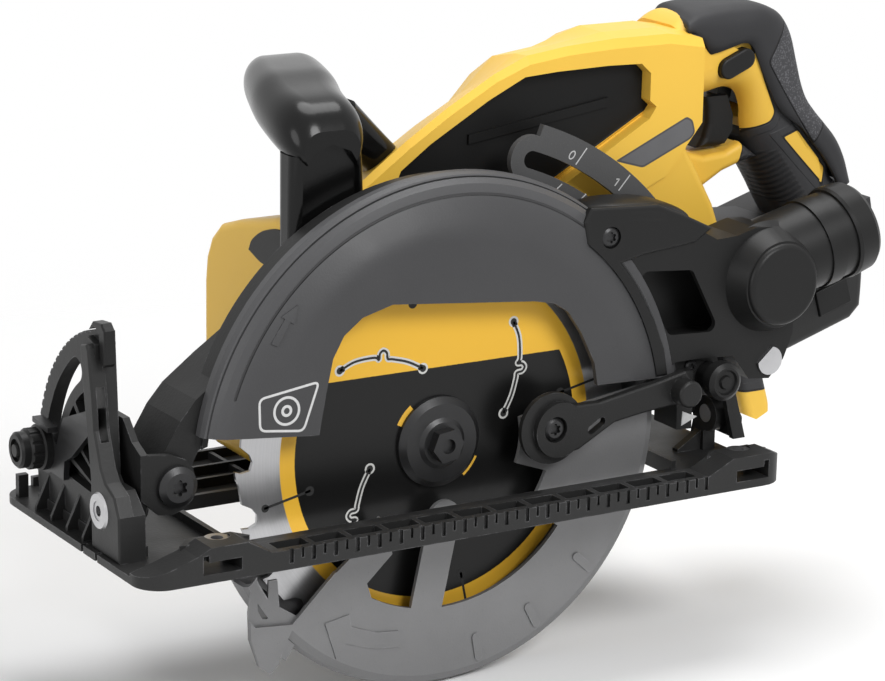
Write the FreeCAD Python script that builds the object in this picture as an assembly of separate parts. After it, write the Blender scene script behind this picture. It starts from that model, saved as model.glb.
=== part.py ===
"""Cordless circular saw, front-pivot type, blade on the left of the motor.

Frame: X to the rear of the saw, Y from the blade towards the motor, Z up.
Origin: on the sole plane of the shoe, straight below the arbor, in the blade's mid-plane.
Rest state: shoe flat, depth of cut at its greatest, bevel 0, lower guard closed.
All sizes in millimetres.
"""
import FreeCAD, Part
import math
import os

V = FreeCAD.Vector
os.makedirs("parts", exist_ok=True)

# ---------------------------------------------------------------- driving sizes
BLADE_D = 190.0
BLADE_T = 1.6
BLADE_TEETH = 24
ARBOR_Z = 28.0
BORE_D = 20.0
RUN = 0.3            # clearance between faces that move past each other
SHAFT_RUN = 0.05     # radial clearance of shafts in holes
SEAT = 0.3           # clearance of seats that only rest

SHOE_X0, SHOE_X1 = -156.5, 150.5
SHOE_Y0, SHOE_Y1 = -44.5, 93.5
DECK_T = 3.2
BAR_H = 8.2
BLOCK_H = 14.4
FENCE_Z0 = 3.6
FENCE_H = 5.0
BAR_W = 14.0
NOTCH_PITCH = 5.0
NOTCH_X0 = -92.5
NOTCH_COUNT = 41
SLOT_X0, SLOT_X1 = -106.0, 110.0
SLOT_Y0, SLOT_Y1 = -13.0, 41.0
SOLE_EDGE_R = 12.0

BEVEL_Y, BEVEL_Z = 1.0, 20.5
BEVEL_PIN_R = 4.0
BEVEL_MAX = 45.0
QUAD_R_OUT = 71.5
QUAD_SLOT_R = 59.0
QUAD_SLOT_W = 10.4
CLAMP_ANG = 10.3
QUAD_X0, QUAD_X1 = -148.5, -142.5
UPRIGHT_X0, UPRIGHT_X1 = -154.2, -147.5

PIVOT_X, PIVOT_Z = -125.0, 29.0
PIVOT_R = 5.0
DEPTH_MAX = 29.5
BRACKET_T = 3.0
BRACKET_Y0 = -8.0
BRACKET_Y1 = 29.5
BRACKET_X0 = -140.5

LOCK_X, LOCK_Z = 131.9, 41.2
LOCK_R = 3.5
STRAP_X, STRAP_Z = 144.2, 32.5
STRAP_RATIO = -0.67
STRAP_Y0, STRAP_T = 10.0, 3.0
REAR_Y0 = -13.0
WEB_X0, WEB_X1 = 145.2, 148.2

GUARD_R = 116.0
GUARD_Y0, GUARD_Y1 = -14.0, -4.0
GUARD_T = 2.5
GUARD_Z_LOW = 46.0
RIM_R = 112.8
RIM_Y1 = 9.0
LOWER_R = 105.0
LOWER_T = 2.0
LOWER_Y0, LOWER_Y1 = -9.5, 5.5
HUB_R = 21.5

GEAR_Z1, GEAR_Z2 = 10, 40
GEAR_M = 1.0
GEAR_C = GEAR_M * (GEAR_Z1 + GEAR_Z2) / 2.0
MOTOR_X = -7.0
MOTOR_Z = ARBOR_Z + math.sqrt(GEAR_C ** 2 - MOTOR_X ** 2)
SPINDLE_R = 8.0
MSHAFT_R = 4.0

TRIG_X, TRIG_Z = 175.5, 156.5
SPIN_LOCK_X, SPIN_LOCK_Z = 10.0, 16.0
SPIN_LOCK_R = 2.4
SPIN_LOCK_STROKE = 3.2

SHELL_Y0, SHELL_Y1 = 18.0, 92.0
SPLIT_Y = 52.0
SHELL_T = 3.0
HANDLE_Y = 50.0
BATT_TILT = 17.0
BATT_X, BATT_Z = 216.0, 41.0
BATT_Y0, BATT_Y1 = 22.0, 82.0
BATT_H = 36.0
RAIL_Y0, RAIL_Y1 = 36.0, 66.0
LATCH = (2.0, 20.0, 9.0, 21.0)


# ---------------------------------------------------------------- helpers
def wire_xz(pts, y=0.0):
    return Part.makePolygon([V(x, y, z) for x, z in pts] + [V(pts[0][0], y, pts[0][1])])


def prism_y(pts, y0, y1):
    """Closed XZ outline pushed along Y."""
    return Part.Face(wire_xz(pts, y0)).extrude(V(0, y1 - y0, 0))


def prism_x(pts, x0, x1):
    """Closed YZ outline pushed along X."""
    w = Part.makePolygon([V(x0, y, z) for y, z in pts] + [V(x0, pts[0][0], pts[0][1])])
    return Part.Face(w).extrude(V(x1 - x0, 0, 0))


def prism_z(pts, z0, z1):
    """Closed XY outline pushed along Z."""
    w = Part.makePolygon([V(x, y, z0) for x, y in pts] + [V(pts[0][0], pts[0][1], z0)])
    return Part.Face(w).extrude(V(0, 0, z1 - z0))


def cyl_y(x, z, r, y0, y1):
    return Part.makeCylinder(r, y1 - y0, V(x, y0, z), V(0, 1, 0))


def cyl_x(y, z, r, x0, x1):
    return Part.makeCylinder(r, x1 - x0, V(x0, y, z), V(1, 0, 0))


def cyl_z(x, y, r, z0, z1):
    return Part.makeCylinder(r, z1 - z0, V(x, y, z0), V(0, 0, 1))


def ring_y(x, z, ro, ri, y0, y1):
    return cyl_y(x, z, ro, y0, y1).cut(cyl_y(x, z, ri, y0 - 1, y1 + 1))


def box(x0, x1, y0, y1, z0, z1):
    return Part.makeBox(x1 - x0, y1 - y0, z1 - z0, V(x0, y0, z0))


def turned(pts, origin, axis):
    """Turn an (axial, radius) profile about a line through origin."""
    a = V(*axis)
    a.normalize()
    side = V(0, 0, 1) if abs(a.z) < 0.9 else V(1, 0, 0)
    side = side - a * side.dot(a)
    side.normalize()
    o = V(*origin)
    vs = [o + a * p + side * r for p, r in pts]
    return Part.Face(Part.makePolygon(vs + [vs[0]])).revolve(o, a, 360)


def fuse(first, *rest):
    s = first
    for r in rest:
        s = s.fuse(r)
    return s.removeSplitter()


def soften(shape, radius, pick):
    """Fillet the edges chosen by pick; keep the shape when the kernel cannot."""
    edges = [e for e in shape.Edges if pick(e)]
    if not edges:
        return shape
    try:
        out = shape.makeFillet(radius, edges)
        if out.isValid() and out.Volume > 0:
            return out
    except Exception:
        pass
    return shape


def along(e, axis, tol=0.02):
    """True for a straight edge parallel to an axis letter."""
    if not isinstance(e.Curve, Part.Line) or e.Length < 1e-6:
        return False
    d = e.Vertexes[-1].Point - e.Vertexes[0].Point
    if d.Length < 1e-6:
        return False
    d.normalize()
    return abs(abs(getattr(d, axis)) - 1) < tol


def inside(e, x=None, y=None, z=None):
    c = e.CenterOfMass
    ok = True
    for v, lim in ((c.x, x), (c.y, y), (c.z, z)):
        if lim is not None:
            ok = ok and lim[0] <= v <= lim[1]
    return ok


def arc_pts(cx, cz, r, a0, a1, n):
    return [(cx + r * math.cos(math.radians(a0 + (a1 - a0) * i / n)),
             cz + r * math.sin(math.radians(a0 + (a1 - a0) * i / n))) for i in range(n + 1)]


def sector_y(cx, cz, r0, r1, a0, a1, y0, y1):
    """Ring sector about a Y axis with true arc edges."""
    def at(r, a):
        return V(cx + r * math.cos(math.radians(a)), y0, cz + r * math.sin(math.radians(a)))
    m = (a0 + a1) / 2.0
    outer = Part.Arc(at(r1, a0), at(r1, m), at(r1, a1)).toShape()
    if r0 > 0.01:
        inner = Part.Arc(at(r0, a1), at(r0, m), at(r0, a0)).toShape()
        edges = [outer, Part.makeLine(at(r1, a1), at(r0, a1)), inner,
                 Part.makeLine(at(r0, a0), at(r1, a0))]
    else:
        c = V(cx, y0, cz)
        edges = [outer, Part.makeLine(at(r1, a1), c), Part.makeLine(c, at(r1, a0))]
    return Part.Face(Part.Wire(edges)).extrude(V(0, y1 - y0, 0))


def sector_x(cy, cz, r0, r1, a0, a1, x0, x1):
    """Ring sector about an X axis, angles from +Y towards +Z."""
    def at(r, a):
        return V(x0, cy + r * math.cos(math.radians(a)), cz + r * math.sin(math.radians(a)))
    m = (a0 + a1) / 2.0
    outer = Part.Arc(at(r1, a0), at(r1, m), at(r1, a1)).toShape()
    inner = Part.Arc(at(r0, a1), at(r0, m), at(r0, a0)).toShape()
    w = Part.Wire([outer, Part.makeLine(at(r1, a1), at(r0, a1)), inner,
                   Part.makeLine(at(r0, a0), at(r1, a0))])
    return Part.Face(w).extrude(V(x1 - x0, 0, 0))


def slot_y(xa, za, xb, zb, r, y0, y1):
    """Round-ended straight slot body along Y."""
    d = V(xb - xa, 0, zb - za)
    n = V(-d.z, 0, d.x)
    n.normalize()
    pts = [V(xa, y0, za) + n * r, V(xb, y0, zb) + n * r, V(xb, y0, zb) - n * r, V(xa, y0, za) - n * r]
    mid = Part.Face(Part.makePolygon(pts + [pts[0]])).extrude(V(0, y1 - y0, 0))
    return mid.fuse([cyl_y(xa, za, r, y0, y1), cyl_y(xb, zb, r, y0, y1)]).removeSplitter()


def slot_x(ya, za, yb, zb, r, x0, x1):
    """Round-ended straight slot body along X."""
    d = V(0, yb - ya, zb - za)
    n = V(0, -d.z, d.y)
    n.normalize()
    a, b = V(x0, ya, za), V(x0, yb, zb)
    pts = [a + n * r, b + n * r, b - n * r, a - n * r]
    mid = Part.Face(Part.makePolygon(pts + [pts[0]])).extrude(V(x1 - x0, 0, 0))
    return mid.fuse([cyl_x(ya, za, r, x0, x1), cyl_x(yb, zb, r, x0, x1)]).removeSplitter()


def rounded_section(c, u, v, w, h, r):
    """Rounded rectangle wire at c spanned by unit vectors u and v."""
    u = V(*u)
    v = V(*v)
    c = V(*c)
    r = min(r, w / 2 - 0.05, h / 2 - 0.05)
    k = r * (1 - math.sqrt(0.5))
    es = []
    xs, ys = w / 2, h / 2

    def p(a, b):
        return c + u * a + v * b
    corners = [(xs, ys, 1, 1), (-xs, ys, -1, 1), (-xs, -ys, -1, -1), (xs, -ys, 1, -1)]
    pts = []
    for i, (a, b, sa, sb) in enumerate(corners):
        first = p(a, b - sb * r) if i in (0, 2) else p(a - sa * r, b)
        last = p(a - sa * r, b) if i in (0, 2) else p(a, b - sb * r)
        mid = p(a - sa * k, b - sb * k)
        pts.append((first, mid, last))
    for i in range(4):
        f, m, l = pts[i]
        es.append(Part.Arc(f, m, l).toShape())
        nf = pts[(i + 1) % 4][0]
        if (nf - l).Length > 1e-6:
            es.append(Part.makeLine(l, nf))
    return Part.Wire(es)


def torx_head(x, y, z, axis, r, h, recess_r):
    """Low round screw head with a star recess; grows from (x, y, z) along axis."""
    head = turned([(0, 0), (0, r), (h * 0.55, r), (h, r * 0.72), (h, 0)], (x, y, z), axis)
    a = V(*axis)
    tip = V(x, y, z) + a * (h * 0.4)
    star = Part.makeCylinder(recess_r * 0.72, h, tip, a)
    side = V(0, 0, 1) if abs(a.z) < 0.9 else V(1, 0, 0)
    for i in range(6):
        rot = FreeCAD.Rotation(a, 60 * i)
        off = rot.multVec(side) * (recess_r * 0.74)
        star = star.fuse(Part.makeCylinder(recess_r * 0.26, h, tip + off, a))
    return head.cut(star)


def screw(x, y, z, axis, head_r, head_h, shank_r, shank_l, recess_r):
    """Star-recess screw; head outward along axis, shank back into the part."""
    a = V(*axis)
    shank = Part.makeCylinder(shank_r, shank_l, V(x, y, z) - a * shank_l, a)
    return torx_head(x, y, z, axis, head_r, head_h, recess_r).fuse(shank).removeSplitter()


NODES = {}


def add(name, shape):
    if shape.ShapeType == "Compound" and len(shape.Solids) == 1:
        shape = shape.Solids[0]
    NODES[name] = shape


# ---------------------------------------------------------------- blade and drive
def make_blade():
    r_root = BLADE_D / 2 - 8.0
    pts = []
    pitch = 360.0 / BLADE_TEETH
    for i in range(BLADE_TEETH):
        a = i * pitch
        for da, r in ((0.0, BLADE_D / 2), (-0.6, BLADE_D / 2 - 3.0), (-0.2, r_root + 1.0),
                      (2.0, r_root), (4.2, r_root + 1.6), (6.2, BLADE_D / 2 - 2.2),
                      (11.5, BLADE_D / 2 - 1.6), (pitch - 1.9, BLADE_D / 2 - 0.4)):
            t = math.radians(-(a + da))
            pts.append((r * math.cos(t), ARBOR_Z + r * math.sin(t)))
    body = prism_y(pts, -BLADE_T / 2, BLADE_T / 2)
    body = body.cut(cyl_y(0, ARBOR_Z, BORE_D / 2, -5, 5))
    for ang in (12.0, 102.0, 192.0, 282.0):
        a = math.radians(ang)
        for r, rr in ((62.0, 1.6), (83.0, 1.2)):
            body = body.cut(cyl_y(r * math.cos(a), ARBOR_Z + r * math.sin(a), rr, -5, 5))
        cut = box(62.0, 83.0, -5, 5, -0.35, 0.35)
        cut.rotate(V(0, 0, 0), V(0, 1, 0), -ang)
        cut.translate(V(0, 0, ARBOR_Z))
        body = body.cut(cut)
    return body


def make_inner_flange():
    z = ARBOR_Z
    f = cyl_y(0, z, 19.0, BLADE_T / 2, 4.4).fuse(cyl_y(0, z, BORE_D / 2 - SHAFT_RUN, -BLADE_T / 2, BLADE_T / 2))
    f = f.cut(ring_y(0, z, 14.0, 10.5, BLADE_T / 2 - 0.1, BLADE_T / 2 + 0.8))
    return f.cut(cyl_y(0, z, 6.0, -2, 6)).removeSplitter()


def make_outer_flange():
    z = ARBOR_Z
    prof = [(-0.8, 6.0), (-0.8, 19.5), (-2.4, 19.5), (-4.6, 16.8), (-4.6, 6.0)]
    f = turned(prof, (0, 0, z), (0, 1, 0))
    return f.cut(ring_y(0, z, 14.5, 10.5, -1.2, 0))


def make_blade_bolt():
    z = ARBOR_Z
    hexa = prism_y([(7.5 * math.cos(math.radians(60 * i + 8)), z + 7.5 * math.sin(math.radians(60 * i + 8)))
                    for i in range(6)], -10.4, -5.8)
    hexa = hexa.cut(cyl_y(0, z, 3.2, -11, -8.2))
    flange = turned([(-5.8, 0), (-5.8, 9.2), (-4.6, 11.0), (-4.6, 0)], (0, 0, z), (0, 1, 0))
    return fuse(hexa, flange, cyl_y(0, z, 4.0, -4.7, 16.0))


def gear_outline(teeth, module, cx, cz, phase, thin):
    """Straight-flank spur outline, flanks slimmed by `thin` for running play."""
    rp = teeth * module / 2.0
    ra, rf = rp + 0.9 * module, rp - 1.2 * module
    pitch = 360.0 / teeth
    half = pitch / 4.0 * (1.0 - thin)
    pts = []
    for i in range(teeth):
        a = phase + i * pitch
        tip = half * 0.48
        root = half * 1.55
        for da, r in ((-root, rf), (-tip, ra), (tip, ra), (root, rf)):
            t = math.radians(a + da)
            pts.append((cx + r * math.cos(t), cz + r * math.sin(t)))
    return pts


def make_spindle():
    z = ARBOR_Z
    s = turned([(-0.8, 0), (-0.8, 6.0), (4.4, 6.0), (4.4, SPINDLE_R), (30.5, SPINDLE_R), (30.5, 6.0),
                (38.0, 6.0), (38.0, 0)], (0, 0, z), (0, 1, 0))
    return s.cut(cyl_y(0, z, 4.05, -2, 18.0))


def make_spindle_gear():
    toward = math.degrees(math.atan2(MOTOR_Z - ARBOR_Z, MOTOR_X))
    pts = gear_outline(GEAR_Z2, GEAR_M, 0, ARBOR_Z, toward, 0.16)
    g = prism_y(pts, 20.0, 28.0)
    g = g.cut(ring_y(0, ARBOR_Z, 15.5, 11.0, 19.0, 21.5)).cut(ring_y(0, ARBOR_Z, 15.5, 11.0, 26.5, 29.0))
    lock_r = math.hypot(SPIN_LOCK_X, SPIN_LOCK_Z - ARBOR_Z)
    lock_a = math.atan2(SPIN_LOCK_Z - ARBOR_Z, SPIN_LOCK_X)
    for i in range(6):
        a = lock_a + i * math.pi / 3.0
        g = g.cut(cyl_y(lock_r * math.cos(a), ARBOR_Z + lock_r * math.sin(a), SPIN_LOCK_R + RUN, 10, 40))
    return g.cut(cyl_y(0, ARBOR_Z, SPINDLE_R, 10, 40))


def make_rotor_shaft():
    toward = math.degrees(math.atan2(ARBOR_Z - MOTOR_Z, -MOTOR_X))
    pts = gear_outline(GEAR_Z1, GEAR_M, MOTOR_X, MOTOR_Z, toward + 180.0 / GEAR_Z1, 0.16)
    pin = prism_y(pts, 19.0, 29.0)
    s = turned([(18.0, 0), (18.0, 3.4), (29.0, 3.4), (29.0, MSHAFT_R), (87.0, MSHAFT_R), (87.0, 0)],
               (MOTOR_X, 0, MOTOR_Z), (0, 1, 0))
    return fuse(s, pin)


def make_rotor_core():
    c = cyl_y(MOTOR_X, MOTOR_Z, 15.5, 50.0, 76.0)
    for i in range(4):
        a = math.radians(45 + 90 * i)
        c = c.cut(cyl_y(MOTOR_X + 10.5 * math.cos(a), MOTOR_Z + 10.5 * math.sin(a), 1.6, 49, 77))
    return c.cut(cyl_y(MOTOR_X, MOTOR_Z, MSHAFT_R, 40, 90))


def make_fan():
    x, z = MOTOR_X, MOTOR_Z
    hub = cyl_y(x, z, 8.0, 39.5, 46.0).fuse(cyl_y(x, z, 27.0, 39.5, 41.0))
    for i in range(14):
        blade = box(9.0, 26.5, -0.6, 0.6, 0, 5.0)
        m = FreeCAD.Matrix()
        blade.rotate(V(0, 0, 0), V(0, 0, 1), 24)
        blade.rotate(V(0, 0, 0), V(1, 0, 0), -90)
        blade.rotate(V(0, 0, 0), V(0, 1, 0), i * 360.0 / 14)
        blade.translate(V(x, 41.0, z))
        hub = hub.fuse(blade.common(cyl_y(x, z, 26.9, 40.5, 46.0)))
    return hub.cut(cyl_y(x, z, MSHAFT_R, 30, 60)).removeSplitter()


def make_stator():
    x, z = MOTOR_X, MOTOR_Z
    s = ring_y(x, z, 31.0, 26.5, 48.0, 78.0)
    for i in range(12):
        t = box(16.0, 27.5, 48.0, 78.0, -1.8, 1.8)
        t = t.fuse(box(16.0, 18.0, 48.0, 78.0, -3.6, 3.6))
        t = t.fuse(box(18.5, 25.5, 46.5, 79.5, -3.0, 3.0))
        t.rotate(V(0, 0, 0), V(0, 1, 0), 30 * i)
        t.translate(V(x, 0, z))
        s = s.fuse(t)
    return s.cut(cyl_y(x, z, 15.5 + 0.5, 40, 90)).removeSplitter()


def make_bearing(x, z, ri, ro, y0, y1):
    b = ring_y(x, z, ro, ri, y0, y1)
    g = ring_y(x, z, ro - (ro - ri) * 0.3, ri + (ro - ri) * 0.3, y0 - 1, y0 + 0.6)
    h = ring_y(x, z, ro - (ro - ri) * 0.3, ri + (ro - ri) * 0.3, y1 - 0.6, y1 + 1)
    return b.cut(g).cut(h)


# ---------------------------------------------------------------- gear case
GEARBOX = [(-30, 15), (-24.5, 6.0), (0, 4.4), (24.5, 6.0), (31, 30), (24, 66), (4, 72), (-22, 72), (-34, 56)]


def biggest(shape):
    """The main solid of a cut, leaving out loose slivers."""
    return sorted(shape.Solids, key=lambda s: s.Volume)[-1]


def make_gear_case(chute_block):
    z = ARBOR_Z
    back = cyl_y(0, z, RIM_R, 6.5, RIM_Y1)
    rim = ring_y(0, z, RIM_R, RIM_R - 2.6, GUARD_Y1 + 0.1, RIM_Y1)
    disc = back.fuse(rim)
    low = box(-150, 150, -30, 30, -150, 0).fuse(prism_y(
        [(-140, -160), (140, -160), (140, 40.0), (38.0, 40.0), (26.0, 5.0), (-30.0, 5.0), (-42.0, 40.0),
         (-140, 44.0)], -30, 30))
    disc = disc.cut(low)
    nose_y0 = BRACKET_Y0 + BRACKET_T + RUN
    nose_y1 = BRACKET_Y1 - BRACKET_T - RUN
    nose = prism_y([(-132.5, 35.5), (-128.0, 42.5), (-121.0, 54.0), (-114.0, 62.0), (-100.0, 72.5), (-86.0, 82.0),
                    (-72.0, 82.0), (-84.0, 56.0), (-96.0, 46.0), (-113.0, 41.0), (-117.0, 33.0), (-117.0, 24.5),
                    (-132.5, 24.5)], nose_y0, nose_y1)
    nose = nose.fuse(cyl_y(PIVOT_X, PIVOT_Z, 8.2, nose_y0, nose_y1))
    nose = nose.cut(cyl_y(0, z, RIM_R - 2.6, -20, 6.5)).cut(ring_y(0, z, 140.0, RIM_R, -20, GUARD_Y1 + 0.1))
    nose = nose.fuse(cyl_y(PIVOT_X, PIVOT_Z, 8.2, nose_y0, nose_y1))
    arm = prism_y([(-100, 70), (-70, 84), (-30, 92), (-20, 60), (-42, 40), (-84, 50)], RIM_Y1 - 0.5, 26.0)
    gearbox = soften(prism_y(GEARBOX, 6.5, 31.5), 4.0, lambda e: along(e, "y"))
    case = fuse(disc, nose, arm, gearbox, cyl_y(0, z, HUB_R, 2.6, 10.0))
    post = prism_y([(112.0, 46.0), (112.6, 20.5), (120.4, 20.0), (120.4, 46.0)], -14.0, 3.0)
    lug = prism_y([(84, 46), (112, 54), (128, 52), (137, 48.5), (140, 42), (136, 34), (126, 34), (121, 40),
                   (100, 40)], -8.0, 9.3)
    case = case.fuse(post).fuse(lug).cut(chute_block)
    case = case.cut(cyl_y(0, z, LOWER_R + 1.2, -30, 6.5).cut(cyl_y(0, z, HUB_R, 2.6, 7.0)))
    case = case.cut(cyl_y(0, z, 21.9, 19.0, 40.0).fuse(cyl_y(MOTOR_X, MOTOR_Z, 9.0, 17.5, 40.0)))
    case = case.cut(cyl_y(0, z, SPINDLE_R + 0.4, -5, 30)).cut(cyl_y(0, z, 13.0, 9.5, 17.5))
    case = case.cut(cyl_y(PIVOT_X, PIVOT_Z, PIVOT_R + SHAFT_RUN, -20, 40))
    case = case.cut(cyl_y(0, z, 19.3, 2.0, 4.9))
    case = case.cut(cyl_y(LOCK_X, LOCK_Z, LOCK_R + SHAFT_RUN, -30, 30))
    return biggest(case.removeSplitter())


def make_gear_cover():
    z = ARBOR_Z
    c = soften(prism_y(GEARBOX, 31.5, 38.5), 4.0, lambda e: along(e, "y"))
    c = c.cut(cyl_y(0, z, 10.0, 31.0, 37.0)).cut(cyl_y(0, z, 6.3, 30, 40))
    c = c.cut(cyl_y(MOTOR_X, MOTOR_Z, 9.5, 32.5, 40.0)).cut(cyl_y(MOTOR_X, MOTOR_Z, 5.0, 30, 40))
    return c.removeSplitter()


def make_upper_guard(chute_block):
    z = ARBOR_Z
    r, y0 = GUARD_R, GUARD_Y0
    wall = turned([(y0, 0), (y0, r - 9.0), (y0 + 1.2, r - 4.2), (y0 + 4.0, r - 0.8), (y0 + 6.5, r), (GUARD_Y1, r),
                   (GUARD_Y1, r - GUARD_T), (y0 + 7.0, r - GUARD_T), (y0 + 4.4, r - 3.6), (y0 + 2.5, r - 9.5),
                   (y0 + 2.5, 0)], (0, 0, z), (0, 1, 0))
    keep = prism_y([(-130, 47.5), (-112, 47.5), (-66, 43.0), (40, 43.0), (72, 46.0), (104, 45.0), (130, 44.0),
                    (130, 160), (-130, 160)], -20, 0)
    opening = prism_y([(-66.0, 30.0), (-60.5, 60.0), (-57.5, 74.0), (-52.5, 83.0), (-44.0, 89.5), (-30.0, 93.3),
                       (38.0, 86.6), (48.0, 84.5), (55.0, 80.0), (62.0, 70.0), (69.0, 56.0), (74.0, 30.0)], -20, -9)
    opening = soften(opening, 3.0, lambda e: along(e, "y") and inside(e, x=(-60, 60)))
    wall = wall.common(keep).cut(opening)
    arrow = prism_y([(-86, 84), (-83, 82.5), (-77.5, 92.0), (-75.5, 90.8), (-74.0, 98.5), (-81.5, 94.5),
                     (-79.8, 93.4)], y0 - 0.5, y0 + 0.5)
    wall = wall.fuse(arrow).cut(chute_block)
    return biggest(wall.removeSplitter())


def make_lower_guard():
    z = ARBOR_Z
    y0, y1, t = LOWER_Y0, LOWER_Y1, LOWER_T
    a0, a1 = 207.0, 368.0
    profile = [(y0, 70.5), (y0, LOWER_R - 5.0), (y0 + 1.4, LOWER_R - 1.6), (y0 + 4.6, LOWER_R), (y1, LOWER_R),
               (y1, LOWER_R - t), (y0 + 5.0, LOWER_R - t), (y0 + 2.9, LOWER_R - 3.2), (y0 + t, LOWER_R - 6.0),
               (y0 + t, 70.5)]
    near = turned(profile, (0, 0, z), (0, 1, 0)).common(sector_y(0, z, 40.0, 130.0, a0, a1, y0 - 1, y1 + 1))
    rim = sector_y(0, z, LOWER_R - t, LOWER_R, a0, a1, y1 - t, y1)
    far = sector_y(0, z, 30.0, LOWER_R, a0 - 4.0, a1, y1 - t, y1)
    hub = ring_y(0, z, 30.5, HUB_R + RUN, y1 - t, y1)
    spoke = slot_y(-1.0, z - 31.0, -10.5, z - 76.0, 7.5, y0, y0 + t)
    web_left = prism_y([(-26.0, z - 43.0), (-38.0, z - 54.0), (-34.0, z - 66.0), (-54.0, z - 76.0), (-76.0, z - 60.0),
                        (-71.0, z - 61.0), (-45.0, z - 41.0), (-32.0, z - 26.0)], y0, y0 + t)
    web_right = sector_y(0, z, 52.0, 84.0, 322.0, a1, y0, y0 + t).fuse(
        sector_y(0, z, 36.0, 60.0, 340.0, 372.0, y0, y0 + t))
    hook = prism_y([(-71.0, z - 64.0), (-77.5, z - 77.0), (-79.0, z - 82.0), (-83.0, z - 86.0), (-88.0, z - 82.0),
                    (-92.0, z - 70.0), (-92.4, z - 58.0), (-90.5, z - 46.0), (-88.3, z - 43.5), (-88.0, z - 58.0),
                    (-86.0, z - 62.0)], y0, y0 + 3.0)
    lip = prism_y([(-66.0, z - 66.0), (-71.0, z - 76.0), (-75.0, z - 82.0), (-80.0, z - 78.0), (-83.5, z - 66.0),
                   (-83.0, z - 46.0), (-79.0, z - 46.0), (-78.0, z - 58.0)], y0 + 2.0, y1)
    hook = hook.fuse(lip.cut(cyl_y(0, z, BLADE_D / 2 + 2.5, y0 + 3.2, y1 + 1)))
    g = fuse(near, rim, far, hub, spoke, web_left, web_right, hook)
    front_cut = prism_y([(-46.0, z - 40.0), (-73.0, z - 66.0), (-90.0, z - 64.5), (-110.0, z - 40.0), (-110, z + 10),
                         (-46, z + 10)], y0 - 1, y0 + t + 0.01)
    g = g.cut(front_cut)
    arrow = prism_y([(-46.5, z - 66.0), (-58.0, z - 68.0), (-52.5, z - 84.5), (-48.0, z - 78.5), (-34.0, z - 83.2),
                     (-22.0, z - 84.5), (-20.0, z - 80.5), (-23.0, z - 77.2), (-34.0, z - 76.0), (-45.5, z - 71.5)],
                    y0 - 0.6, y0 + 0.4)
    g = g.fuse(arrow)
    for a in (280.0, 298.0, 318.0):
        r = math.radians(a)
        rib = slot_y(88.0 * math.cos(r), z + 88.0 * math.sin(r), 97.0 * math.cos(r), z + 97.0 * math.sin(r),
                     1.8, y0 - 0.7, y0 + 0.5)
        g = g.fuse(rib)
    boss = cyl_y(47.0, z + 3.0, 6.5, GUARD_Y0 - RUN, y0 + 0.5)
    g = g.fuse(boss).cut(cyl_y(47.0, z + 3.0, 2.0, -30, 0))
    return g.removeSplitter()


def make_guard_lever():
    z = ARBOR_Z
    cx, cz = 47.0, z + 3.0
    y1 = GUARD_Y0 - RUN
    base = cyl_y(cx, cz, 15.5, y1 - 2.4, y1).fuse(cyl_y(cx + 2.5, cz - 0.5, 12.0, y1 - 5.0, y1))
    arm = prism_y([(cx - 2, cz + 9.5), (cx + 22, cz + 9.0), (cx + 52, cz + 14.0), (cx + 66, cz + 17.0),
                   (cx + 70, cz + 12.0), (cx + 68, cz + 3.0), (cx + 44, cz + 1.0), (cx + 30, cz - 1.0),
                   (cx + 12, cz - 10.5), (cx + 2, cz - 12.0)], y1 - 5.0, y1 - 1.2)
    arm = soften(arm, 1.2, lambda e: inside(e, y=(y1 - 5.1, y1 - 4.9)))
    tab = cyl_y(cx + 64.0, cz + 8.5, 6.0, y1 - 12.5, y1 - 1.2)
    tab = soften(tab, 1.5, lambda e: inside(e, y=(y1 - 12.6, y1 - 12.4)))
    lever = fuse(base, arm, tab)
    lever = lever.cut(slot_y(cx + 18.0, cz - 2.5, cx + 23.0, cz + 0.5, 1.9, y1 - 8, y1 + 1))
    lever = lever.cut(cyl_y(cx, cz, 5.6, y1 - 6, y1 - 2.0)).cut(cyl_y(cx, cz, 2.05, y1 - 6, y1 + 1))
    return lever.removeSplitter()


def make_lever_screw():
    z = ARBOR_Z
    y1 = GUARD_Y0 - RUN
    return screw(47.0, y1 - 2.0, z + 3.0, (0, -1, 0), 5.0, 2.6, 2.0, 8.0, 2.6)


# ---------------------------------------------------------------- front bracket, bevel quadrant
def yz(r, ang):
    return (BEVEL_Y + r * math.cos(math.radians(ang)), BEVEL_Z + r * math.sin(math.radians(ang)))


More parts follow.
